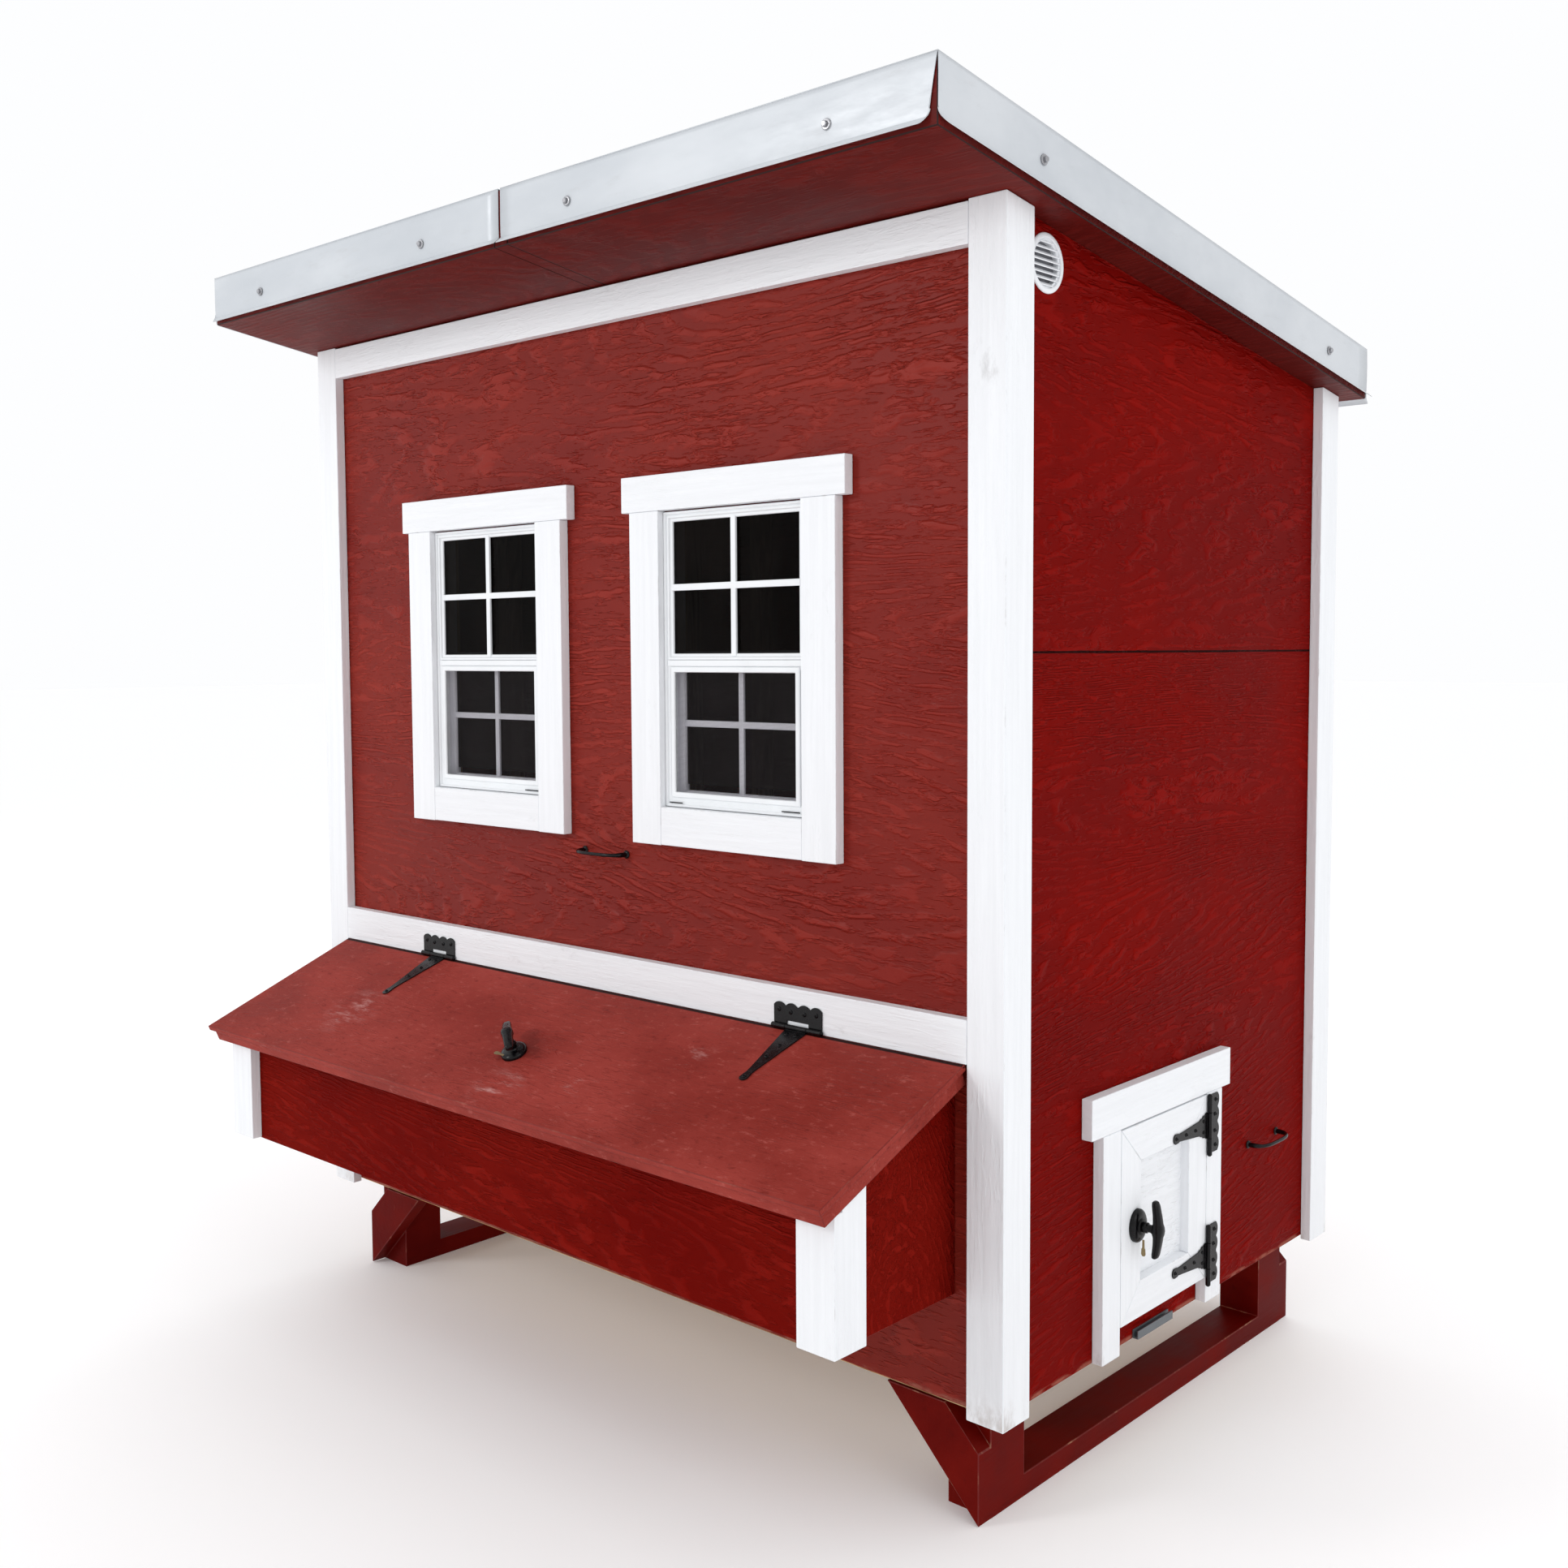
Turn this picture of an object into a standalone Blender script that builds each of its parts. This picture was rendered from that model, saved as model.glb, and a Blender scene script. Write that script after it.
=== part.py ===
"""Chicken coop: a lean-to hen house on two braced skids, with a lidded nest box and a side pop door.

Lumber is sized in inches, so every length below is in inches. The shape functions take inches in
the coop's own frame (x from the middle, y backwards from the front trim face, z up from the foot of
the corner boards), and node() turns them into metres.
"""

import math

import bmesh
import bpy
from mathutils import Matrix, Vector

INCH = 0.0254
GAP = 0.012  # between touching pieces
LAP = 0.12  # how far two boards of one piece run into each other

# Overall
HALF_WIDTH = 33.0
DEPTH = 41.37
GROUND = -6.6
PLAN_CENTRE_Y = 15.5

# House shell
TRIM = 0.75
TRIM_WIDTH = 2.5
CORNER_RETURN = 2.6
SIDING = 0.375
SIDING_FOOT = 0.3
STUD = 1.5
FLAT_BOARD = 3.5
FLOOR_TOP = 1.5
DECK = 0.44
SHELL_FRONT = TRIM + SIDING
SHELL_BACK = DEPTH - TRIM - SIDING
SHELL_SIDE = HALF_WIDTH - TRIM - SIDING

# Lean-to roof, falling to the back
ROOF_SLOPE = 0.147
ROOF_UNDER = 66.89  # underside height at the front trim face
ROOF_RISE = 3.5
ROOF_FRONT = -7.86
ROOF_BACK = 42.74
ROOF_SIDE = 34.41
SOFFIT = 0.5
METAL = 0.05
FASCIA_DROP = 2.75
KICK_OUT = 0.45
KICK_DROP = 0.6
RAFTERS = 5

# Front boards
TOP_BOARD_FOOT = 64.5
HINGE_BOARD = (20.1, 22.6)

# Windows
WINDOW_X = 12.3
WINDOW_HALF = 6.1
WINDOW_Z = (32.9, 51.85)
JAMB_TRIM = 2.7
WINDOW_HEAD = (51.9, 54.2)
HEAD_HALF = 9.55
WINDOW_SILL_FOOT = 30.4
CASE_WALL = 0.3
CASE_Y = (0.45, 2.0)
FACE_Y = (0.6, 0.82)
MUNTIN = 0.42
UPPER_LIGHT = (42.91, 51.4)
UPPER_LIGHT_HALF = 5.55
SCREEN_LIGHT = (33.9, 41.58)
SCREEN_HALF = 5.2
PANE = 0.1
SASH_Y = (1.2, 1.7)
SASH_Z = (33.25, 42.95)
SASH_LIGHT = (34.35, 42.25)
SASH_HALF = 5.74
SASH_LIGHT_HALF = 5.02

# Nest box
NEST_FRONT = -9.81
NEST_HALF = 29.2
NEST_FOOT = 6.65
NEST_FLOOR = 0.5
NEST_BAY = 11.66
DIVIDER = 0.5
MOUTH_HALF = 28.8  # one long cut-out that the studs divide into bays
MOUTH_Z = (9.5, 18.5)
NEST_POST = (27.3, 29.95)
NEST_POST_FRONT = -10.56
NEST_POST_BACK = -8.0

# Lid and its hinge line
LID_SLOPE = math.atan(0.41)
PIN_OFF = 0.18  # hinge axis above the faces that a hinge joins
LID_PIN = (0.0, -PIN_OFF, 20.25)
LID_HALF = 30.4
LID_FRONT = -13.12
LID_BACK = 0.1
LID_SHEET = 0.375
LID_FRAME = 0.93
LID_FRAME_INSET = 0.25
LID_BOARD = 2.5
LID_FRONT_BOARD = 3.2
LID_RIBS = 6
LID_HINGE_X = 18.1
LID_HANDLE_Y = -7.75
LID_HANDLE_TURN = math.radians(-38)

# Strap hinges
KNUCKLE = 0.165
BORE = 0.098
PIN = 0.087
STRAP_LENGTH = 5.2
STRAP_ROOT = 0.62
STRAP_TIP = 0.32
LEAF_HALF = 1.925
LEAF_HEIGHT = 1.45
STRAP_KNUCKLE = 0.83
STRAP_Z = (-0.155, -0.105)

# Tee handles
ROSETTE = 1.13
ROSETTE_RISE = 0.36
BAR_LENGTH = 3.56
BAR_RADIUS = 0.2
BAR_STANDOFF = 1.5
SPINDLE = 0.2
SPINDLE_HOLE = 0.26
CAM = (0.35, 0.12)
CAM_REACH = 2.4
LID_CAM_REACH = 2.2

# Pop door, on the right wall
POP_Y = (12.3, 23.0)
POP_Z = (1.95, 14.15)
POP_CLEAR = 0.05
POP_FRAME = 2.3
POP_PANEL = (SHELL_SIDE + GAP, HALF_WIDTH - TRIM + LAP)
POP_PIN = (HALF_WIDTH + PIN_OFF, 23.0, 0.0)
POP_HINGE_Z = (3.5, 12.13)
POP_HANDLE = (14.1, 7.9)
POP_JAMB = 2.0
POP_HEAD = (14.2, 16.65)

# Access door, on the back wall
ACCESS_HALF = 11.0
ACCESS_Z = (8.0, 48.0)
ACCESS_FRAME = 2.5
ACCESS_PIN = (ACCESS_HALF + 0.05, DEPTH + PIN_OFF, 0.0)
ACCESS_HANDLE = (-9.3, 28.0)
HINGE_KNUCKLES = 7

# Base
SKID = (3.0, 1.4)
SKID_OUTER = {"left": 29.6, "right": 30.65}
SKID_Y = (2.2, 38.9)
LEG = (3.4, 3.0)
BRACE = 3.0
BRACE_THICK = 1.15
BRACE_FRONT = 1.0

# Small hardware
VENT = (4.8, 64.0)
VENT_RADIUS = 1.65
VENT_BARREL = 1.3
VENT_SLOTS = 6
BOW_WIDTH = 4.2
BOW_STANDOFF = 1.2
BOW_ROD = 0.14
LID_KEEPER_Z = 29.4
POP_KEEPER = (32.35, 9.0)
BRACKET_Y = (15.0, 19.3)

COLOURS = {
    "white_trim": ((0.86, 0.87, 0.9), 0.55, 0.0),
    "red_siding": ((0.21, 0.017, 0.011), 0.6, 0.0),
    "red_base": ((0.12, 0.008, 0.006), 0.65, 0.0),
    "red_lid": ((0.3, 0.05, 0.042), 0.75, 0.0),
    "bare_wood": ((0.55, 0.38, 0.22), 0.8, 0.0),
    "roof_metal": ((0.72, 0.73, 0.76), 0.35, 0.6),
    "vinyl": ((0.85, 0.86, 0.88), 0.4, 0.0),
    "pane": ((0.05, 0.05, 0.06), 0.08, 0.0),
    "hardware": ((0.015, 0.015, 0.016), 0.45, 0.0),
    "bracket": ((0.35, 0.36, 0.37), 0.4, 0.8),
}


def clear_scene():
    for item in list(bpy.data.objects):
        bpy.data.objects.remove(item, do_unlink=True)


def new_collection(name, helper=False):
    collection = bpy.data.collections.new(name)
    bpy.context.scene.collection.children.link(collection)
    collection.hide_render = helper
    return collection


clear_scene()
COOP = new_collection("chicken_coop")
HELPERS = new_collection("helpers", helper=True)


def material(name):
    found = bpy.data.materials.get(name)
    if found:
        return found
    colour, roughness, metallic = COLOURS[name]
    made = bpy.data.materials.new(name)
    made.use_nodes = True
    shader = made.node_tree.nodes["Principled BSDF"]
    shader.inputs["Base Color"].default_value = (*colour, 1.0)
    shader.inputs["Roughness"].default_value = roughness
    shader.inputs["Metallic"].default_value = metallic
    made.diffuse_color = (*colour, 1.0)
    return made


def empty(name, place, turn=(0.0, 0.0, 0.0), parent=None):
    made = bpy.data.objects.new(name, None)
    COOP.objects.link(made)
    made.location = Vector(place) * INCH
    made.rotation_euler = turn
    made.parent = parent
    return made


HOUSE = empty("house", (0, -PLAN_CENTRE_Y, -GROUND))


# Shapes: each returns a closed bmesh in inches


def box(x, y, z):
    solid = bmesh.new()
    bmesh.ops.create_cube(solid, size=1.0)
    spans = (x, y, z)
    for vert in solid.verts:
        vert.co = Vector([low + (c + 0.5) * (high - low) for c, (low, high) in zip(vert.co, spans)])
    return solid


def from_curve(curve):
    """The mesh of a curve, with its caps welded."""
    guide = bpy.data.objects.new("guide", curve)
    HELPERS.objects.link(guide)
    bpy.context.view_layer.update()
    graph = bpy.context.evaluated_depsgraph_get()
    mesh = bpy.data.meshes.new_from_object(guide.evaluated_get(graph))
    solid = bmesh.new()
    solid.from_mesh(mesh)
    bmesh.ops.remove_doubles(solid, verts=solid.verts, dist=1e-4)
    bpy.data.objects.remove(guide)
    bpy.data.curves.remove(curve)
    bpy.data.meshes.remove(mesh)
    return solid


def face_out(solid):
    bmesh.ops.recalc_face_normals(solid, faces=solid.faces)
    if solid.calc_volume(signed=True) < 0:
        bmesh.ops.reverse_faces(solid, faces=solid.faces)
    return solid


FACINGS = {
    "front": lambda u, v, w: (u, w, v),
    "side": lambda u, v, w: (w, u, v),
    "top": lambda u, v, w: (u, v, w),
}


def plate(outline, span, facing, holes=()):
    """A sheet cut to an outline. facing says which way it looks: front takes (x, z) points and a y
    span, side takes (y, z) and an x span, top takes (x, y) and a z span."""
    curve = bpy.data.curves.new("outline", "CURVE")
    curve.dimensions = "2D"
    curve.fill_mode = "BOTH"
    curve.extrude = (span[1] - span[0]) / 2
    for loop in (outline, *holes):
        spline = curve.splines.new("POLY")
        spline.points.add(len(loop) - 1)
        for point, (u, v) in zip(spline.points, loop):
            point.co = (u, v, 0, 1)
        spline.use_cyclic_u = True
    solid = from_curve(curve)
    middle = (span[0] + span[1]) / 2
    for vert in solid.verts:
        vert.co = FACINGS[facing](vert.co.x, vert.co.y, vert.co.z + middle)
    return face_out(solid)


def rod(start, end, radius, segments=16):
    start, end = Vector(start), Vector(end)
    along = end - start
    place = Matrix.Translation((start + end) / 2) @ along.to_track_quat("Z", "Y").to_matrix().to_4x4()
    solid = bmesh.new()
    bmesh.ops.create_cone(
        solid,
        cap_ends=True,
        segments=segments,
        radius1=radius,
        radius2=radius,
        depth=along.length,
        matrix=place,
    )
    return solid


def wire(points, radius):
    curve = bpy.data.curves.new("wire", "CURVE")
    curve.dimensions = "3D"
    curve.bevel_depth = radius
    curve.bevel_resolution = 2
    curve.use_fill_caps = True
    spline = curve.splines.new("POLY")
    spline.points.add(len(points) - 1)
    for point, place in zip(spline.points, points):
        point.co = (*place, 1)
    return from_curve(curve)


def rectangle(u, v):
    return [(u[0], v[0]), (u[1], v[0]), (u[1], v[1]), (u[0], v[1])]


def arc(centre, radius, start, end, steps):
    angles = [math.radians(start + (end - start) * i / steps) for i in range(steps + 1)]
    return [(centre[0] + radius * math.cos(a), centre[1] + radius * math.sin(a)) for a in angles]


def circle(centre, radius, steps=24):
    return arc(centre, radius, 0, 360, steps)[:-1]


def as_object(name, solid, origin, parent, collection):
    bmesh.ops.translate(solid, verts=solid.verts, vec=-Vector(origin))
    bmesh.ops.scale(solid, verts=solid.verts, vec=(INCH, INCH, INCH))
    mesh = bpy.data.meshes.new(name)
    solid.to_mesh(mesh)
    solid.free()
    made = bpy.data.objects.new(name, mesh)
    collection.objects.link(made)
    made.location = Vector(origin) * INCH
    made.parent = parent
    return made


def node(name, solids, look, parent=HOUSE, origin=(0, 0, 0), smooth=False):
    """One piece of the coop. Several solids are joined into one body by a Boolean union."""
    first, *others = solids
    made = as_object(name, first, origin, parent, COOP)
    made.data.materials.append(material(look))
    if smooth:
        made.data.shade_smooth()
        made.data.set_sharp_from_angle(angle=math.radians(35))
    if others:
        boards = bpy.data.collections.new(name + "_parts")
        HELPERS.children.link(boards)
        for index, solid in enumerate(others):
            board = as_object(f"{name}_part_{index}", solid, origin, parent, boards)
            board.hide_render = True
            board.display_type = "WIRE"
        union = made.modifiers.new("join", "BOOLEAN")
        union.operation = "UNION"
        union.operand_type = "COLLECTION"
        union.collection = boards
        union.solver = "EXACT"
    return made


def roof_under(y):
    return ROOF_UNDER - ROOF_SLOPE * y


def spread(low, high, count):
    """count values evenly spaced from low to high."""
    return [low + (high - low) * i / (count - 1) for i in range(count)]


# Base


def skid_frame(side):
    """A flat skid, its two legs of the same width, and a 45 degree brace at each end."""
    sign = 1 if side == "right" else -1
    outer = SKID_OUTER[side]
    skid_top = GROUND + SKID[1]

    def across(low, high):
        return tuple(sorted((sign * low, sign * high)))

    solids = [box(across(outer - SKID[0], outer), SKID_Y, (GROUND, skid_top))]
    for foot in (SKID_Y[0], SKID_Y[1] - LEG[0]):
        solids.append(box(across(outer - LEG[1], outer), (foot, foot + LEG[0]), (skid_top - LAP, 0)))
    plumb = BRACE * math.sqrt(2)
    corner = GROUND + plumb
    profile = [(outer, GROUND), (outer, corner), (outer + corner, 0), (outer + GROUND, 0)]
    profile = [(sign * x, z) for x, z in profile]
    ends = ((BRACE_FRONT, SKID_Y[0] + GAP), (SKID_Y[1] - GAP, SKID_Y[1] + BRACE_THICK))
    for span in ends:
        solids.append(plate(profile, span, "front"))
    node(f"skid_frame_{side}", solids, "red_base")


# Floor and wall framing


def floor_frame():
    x = (-SHELL_SIDE + GAP, SHELL_SIDE - GAP)
    y = (SHELL_FRONT + GAP, SHELL_BACK - GAP)
    z = (GAP, FLOOR_TOP)
    solids = [
        box(x, (y[0], y[0] + FLAT_BOARD), z),
        box(x, (y[1] - FLAT_BOARD, y[1]), z),
    ]
    for left in spread(x[0], x[1] - FLAT_BOARD, 7):
        solids.append(box((left, left + FLAT_BOARD), y, z))
    node("floor_frame", solids, "bare_wood")
    inside_x = SHELL_SIDE - STUD - 2 * GAP
    inside_y = (y[0] + STUD + GAP, y[1] - STUD - GAP)
    deck = box((-inside_x, inside_x), inside_y, (FLOOR_TOP + GAP, FLOOR_TOP + GAP + DECK))
    node("floor_deck", [deck], "bare_wood")


def front_wall_frame():
    y = (SHELL_FRONT + GAP, SHELL_FRONT + GAP + STUD)
    side = SHELL_SIDE - GAP
    foot = FLOOR_TOP + GAP
    top = roof_under(y[1]) - 2 * GAP
    shelf = (18.7, 20.2)
    window = (WINDOW_Z[0] - 0.1, WINDOW_Z[1] + 0.1)
    solids = [
        box((-side, side), y, (top - STUD, top)),
        box((-side, side), y, shelf),
    ]
    for x in (-side, side - STUD):
        solids.append(box((x, x + STUD), y, (foot, top)))
    for bay in (-1.5, -0.5, 0.5, 1.5):
        middle = bay * NEST_BAY
        solids.append(box((middle - STUD / 2, middle + STUD / 2), y, (foot, shelf[0] + LAP)))
    upper = (shelf[1] - LAP, top - STUD + LAP)
    for middle in (-25.2, 0.0, 25.2):
        solids.append(box((middle - STUD / 2, middle + STUD / 2), y, upper))
    half = WINDOW_HALF + 0.05
    for sign in (-1, 1):
        middle = sign * WINDOW_X
        for x in (middle - half - STUD, middle + half):
            solids.append(box((x, x + STUD), y, upper))
        rails = ((window[0] - STUD, window[0]), (window[1], window[1] + STUD))
        for z in rails:
            solids.append(box((middle - half - LAP, middle + half + LAP), y, z))
        cripples = ((upper[0], window[0] - STUD + LAP), (window[1] + STUD - LAP, upper[1]))
        for z in cripples:
            solids.append(box((middle - STUD / 2, middle + STUD / 2), y, z))
    node("front_wall_frame", solids, "bare_wood")


def back_wall_frame():
    y = (SHELL_BACK - GAP - STUD, SHELL_BACK - GAP)
    side = SHELL_SIDE - GAP
    foot = FLOOR_TOP + GAP
    top = roof_under(y[1]) - 2 * GAP
    jamb = ACCESS_HALF + 1.4
    sill = ACCESS_Z[0] - 0.3
    head = ACCESS_Z[1] + 0.3
    solids = [
        box((-side, side), y, (top - STUD, top)),
        box((-side, side), y, (foot, foot + STUD)),
    ]
    for x in (-side, -22.5, -jamb - STUD, jamb, 21.0, side - STUD):
        solids.append(box((x, x + STUD), y, (foot + LAP, top - LAP)))
    for z in ((sill - STUD, sill), (head, head + STUD)):
        solids.append(box((-jamb - LAP, jamb + LAP), y, z))
    for x in (-STUD / 2 - 4.2, -STUD / 2 + 4.2):
        solids.append(box((x, x + STUD), y, (head + STUD - LAP, top - LAP)))
        solids.append(box((x, x + STUD), y, (foot + LAP, sill - LAP)))
    node("back_wall_frame", solids, "bare_wood")


def side_wall_frame(side):
    sign = 1 if side == "right" else -1
    x = tuple(sorted((sign * (SHELL_SIDE - GAP - STUD), sign * (SHELL_SIDE - GAP))))
    y = (SHELL_FRONT + 2 * GAP + STUD, SHELL_BACK - 2 * GAP - STUD)
    foot = FLOOR_TOP + GAP

    def under(place, depth):
        return roof_under(place) - 2 * GAP - depth

    plate_outline = [(y[0], under(y[0], STUD)), (y[1], under(y[1], STUD))]
    plate_outline += [(y[1], under(y[1], 0)), (y[0], under(y[0], 0))]
    solids = [plate(plate_outline, x, "side")]
    door_head = (POP_HEAD[0] + 0.3, POP_HEAD[0] + 0.3 + STUD)
    studs = [(9.7, foot), (23.4, foot), (31.0, foot)]
    studs.append((16.6, door_head[1] - LAP) if side == "right" else (16.6, foot))
    for front, low in studs:
        outline = [(front, low), (front + STUD, low)]
        outline += [(front + STUD, under(front + STUD, LAP)), (front, under(front, LAP))]
        solids.append(plate(outline, x, "side"))
    if side == "right":
        solids.append(box(x, (9.7 + STUD - LAP, 23.4 + LAP), door_head))
    node(f"side_wall_frame_{side}", solids, "bare_wood")


# Siding


def siding_front():
    half = SHELL_SIDE - GAP
    top = roof_under(SHELL_FRONT) - 2 * GAP
    holes = []
    for sign in (-1, 1):
        middle = sign * WINDOW_X
        holes.append(rectangle((middle - WINDOW_HALF, middle + WINDOW_HALF), WINDOW_Z))
    holes.append(rectangle((-MOUTH_HALF, MOUTH_HALF), MOUTH_Z))
    outline = rectangle((-half, half), (SIDING_FOOT, top))
    node("siding_front", [plate(outline, (TRIM, SHELL_FRONT), "front", holes)], "red_siding")


def siding_back():
    half = SHELL_SIDE - GAP
    top = roof_under(DEPTH - TRIM) - 2 * GAP
    reach = ACCESS_HALF + POP_CLEAR
    hole = rectangle((-reach, reach), (ACCESS_Z[0] - POP_CLEAR, ACCESS_Z[1] + POP_CLEAR))
    outline = rectangle((-half, half), (SIDING_FOOT, top))
    span = (SHELL_BACK, DEPTH - TRIM)
    node("siding_back", [plate(outline, span, "front", [hole])], "red_siding")


def siding_side(side):
    front, back = TRIM, DEPTH - TRIM
    outline = [(front, SIDING_FOOT), (back, SIDING_FOOT)]
    outline += [(back, roof_under(back) - 2 * GAP), (front, roof_under(front) - 2 * GAP)]
    holes = [circle(VENT, VENT_BARREL + 0.02)]
    if side == "right":
        holes.append(rectangle(POP_Y, POP_Z))
        span = (SHELL_SIDE, HALF_WIDTH - TRIM)
    else:
        span = (-(HALF_WIDTH - TRIM), -SHELL_SIDE)
    node(f"siding_{side}", [plate(outline, span, "side", holes)], "red_siding")


# Trim


def cut_to_roof(solid):
    """Cuts a solid off just under the sloping soffit, and closes the cut."""
    low = Vector((0, 0, ROOF_UNDER - 2 * GAP))
    normal = Vector((0, ROOF_SLOPE, 1)).normalized()
    geometry = solid.verts[:] + solid.edges[:] + solid.faces[:]
    bmesh.ops.bisect_plane(solid, geom=geometry, plane_co=low, plane_no=normal, clear_outer=True)
    open_edges = [edge for edge in solid.edges if edge.is_boundary]
    bmesh.ops.holes_fill(solid, edges=open_edges)
    return face_out(solid)


def corner_posts():
    outer = HALF_WIDTH
    skin = HALF_WIDTH - TRIM + GAP
    inner = HALF_WIDTH - TRIM_WIDTH
    plan = [
        (outer, 0),
        (outer, CORNER_RETURN),
        (skin, CORNER_RETURN),
        (skin, TRIM - GAP),
        (inner, TRIM - GAP),
        (inner, 0),
    ]
    for side, sign in (("left", -1), ("right", 1)):
        for end in ("front", "back"):
            places = [(sign * x, y if end == "front" else DEPTH - y) for x, y in plan]
            post = plate(places, (0, ROOF_UNDER + 1), "top")
            node(f"corner_post_{end}_{side}", [cut_to_roof(post)], "white_trim")


def front_boards():
    half = HALF_WIDTH - TRIM_WIDTH - GAP
    y = (0, TRIM - GAP)
    top = roof_under(TRIM) - 2 * GAP
    node("front_top_board", [box((-half, half), y, (TOP_BOARD_FOOT, top))], "white_trim")
    node("hinge_board", [box((-half, half), y, HINGE_BOARD)], "white_trim")


# Roof


def roof_panel(side):
    """A soffit sheet with rafters on it, under the metal."""
    sign = 1 if side == "right" else -1
    lining = METAL + GAP
    y = (ROOF_FRONT + lining, ROOF_BACK - lining)
    reach = ROOF_SIDE - lining
    rise = ROOF_RISE - lining

    def slab(front, back, low, high, inner, outer):
        outline = [(front, roof_under(front) + low), (back, roof_under(back) + low)]
        outline += [(back, roof_under(back) + high), (front, roof_under(front) + high)]
        return plate(outline, tuple(sorted((sign * inner, sign * outer))), "side")

    solids = [slab(y[0], y[1], 0, SOFFIT, GAP / 2, reach)]
    for inner in spread(GAP / 2, reach - STUD, RAFTERS):
        solids.append(slab(y[0], y[1], SOFFIT - LAP, rise, inner, inner + STUD))
    for front in (y[0], y[1] - STUD):
        solids.append(slab(front, front + STUD, SOFFIT - LAP, rise, GAP / 2, reach))
    node(f"roof_panel_{side}", solids, "red_siding")


def roof_skin(side):
    """A folded metal pan over one half: top, three fascias and a kicked-out drip edge."""
    sign = 1 if side == "right" else -1
    solid = box((GAP / 2, ROOF_SIDE), (ROOF_FRONT, ROOF_BACK), (-FASCIA_DROP, 0))

    def gone(face):
        at_seam = all(vert.co.x < GAP for vert in face.verts)
        at_foot = all(vert.co.z < -GAP for vert in face.verts)
        return at_seam or at_foot

    bmesh.ops.delete(solid, geom=[face for face in solid.faces if gone(face)], context="FACES")
    foot = [edge for edge in solid.edges if all(vert.co.z < -GAP for vert in edge.verts)]
    kicked = bmesh.ops.extrude_edge_only(solid, edges=foot)["geom"]
    for vert in (item for item in kicked if isinstance(item, bmesh.types.BMVert)):
        outward = KICK_OUT if vert.co.y > 0 else -KICK_OUT
        vert.co += Vector((KICK_OUT if vert.co.x > GAP else 0, outward, -KICK_DROP))
    for vert in solid.verts:
        vert.co.z += roof_under(vert.co.y) + ROOF_RISE
        vert.co.x *= sign
    if sign < 0:
        bmesh.ops.reverse_faces(solid, faces=solid.faces)
    made = node(f"roof_skin_{side}", [solid], "roof_metal")
    sheet = made.modifiers.new("sheet", "SOLIDIFY")
    sheet.thickness = METAL * INCH
    sheet.offset = -1
    sheet.use_even_offset = True


def vent(side):
    """A round louvre whose barrel passes through the siding."""
    sign = 1 if side == "right" else -1
    face = HALF_WIDTH - TRIM + GAP
    slots = []
    light = VENT_BARREL - 0.15
    for z in spread(-light + 0.2, light - 0.2, VENT_SLOTS):
        half = math.sqrt(light * light - z * z) - 0.05
        slots.append(rectangle((VENT[0] - half, VENT[0] + half), (VENT[1] + z - 0.09, VENT[1] + z + 0.09)))

    def across(low, high):
        return tuple(sorted((sign * low, sign * high)))

    rim = plate(circle(VENT, VENT_RADIUS), across(face, face + 0.14), "side", slots)
    barrel_hole = [circle(VENT, VENT_BARREL - 0.12)]
    barrel = plate(circle(VENT, VENT_BARREL), across(SHELL_SIDE, face + 0.1), "side", barrel_hole)
    node(f"vent_{side}", [rim, barrel], "vinyl", smooth=True)


# Nest box and lid


def lid_under(y):
    """Height of the lid's underside."""
    drop = PIN_OFF + LID_SHEET + GAP + LID_FRAME
    return LID_PIN[2] + (y - LID_PIN[1]) * math.tan(LID_SLOPE) - drop / math.cos(LID_SLOPE)


def nest_side(front, back, x, low, top_gap):
    """A board across the nest box whose top follows the lid."""
    outline = [(front, low), (back, low)]
    outline += [(back, lid_under(back) - top_gap), (front, lid_under(front) - top_gap)]
    return plate(outline, x, "side")


def nest_box():
    back = TRIM - GAP
    seat = 2 * GAP
    front_top = lid_under(NEST_FRONT) - seat
    solids = [box((-NEST_HALF, NEST_HALF), (NEST_FRONT, NEST_FRONT + SIDING), (NEST_FOOT, front_top))]
    floor = (NEST_FOOT + LAP, NEST_FOOT + LAP + NEST_FLOOR)
    solids.append(box((-NEST_HALF + LAP, NEST_HALF - LAP), (NEST_FRONT + LAP, back), floor))
    for x in ((-NEST_HALF, -NEST_HALF + SIDING), (NEST_HALF - SIDING, NEST_HALF)):
        solids.append(nest_side(NEST_FRONT + LAP, back, x, NEST_FOOT, seat))
    for bay in (-1.5, -0.5, 0.5, 1.5):
        x = (bay * NEST_BAY - DIVIDER / 2, bay * NEST_BAY + DIVIDER / 2)
        solids.append(nest_side(NEST_FRONT + LAP, back - LAP, x, floor[0] + LAP, 0.5))
    strike_z = (lid_under(NEST_FRONT) - 0.6, front_top - LAP)
    solids.append(box((-0.8, 0.8), (NEST_FRONT + LAP, NEST_FRONT + 1.4), strike_z))
    node("nest_box", solids, "red_siding")


def nest_corner(side):
    sign = 1 if side == "right" else -1
    foot = NEST_FOOT + 0.05

    def across(low, high):
        return tuple(sorted((sign * low, sign * high)))

    front_top = lid_under(NEST_POST_FRONT) - 2 * GAP
    face = box(across(*NEST_POST), (NEST_POST_FRONT, NEST_FRONT - GAP), (foot, front_top))
    skin = across(NEST_HALF + GAP, NEST_POST[1])
    cheek = nest_side(NEST_FRONT - GAP - LAP, NEST_POST_BACK, skin, foot, 2 * GAP)
    node(f"nest_corner_{side}", [face, cheek], "white_trim")


LID = empty("lid_hinge_line", LID_PIN, (LID_SLOPE, 0, 0), HOUSE)


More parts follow.
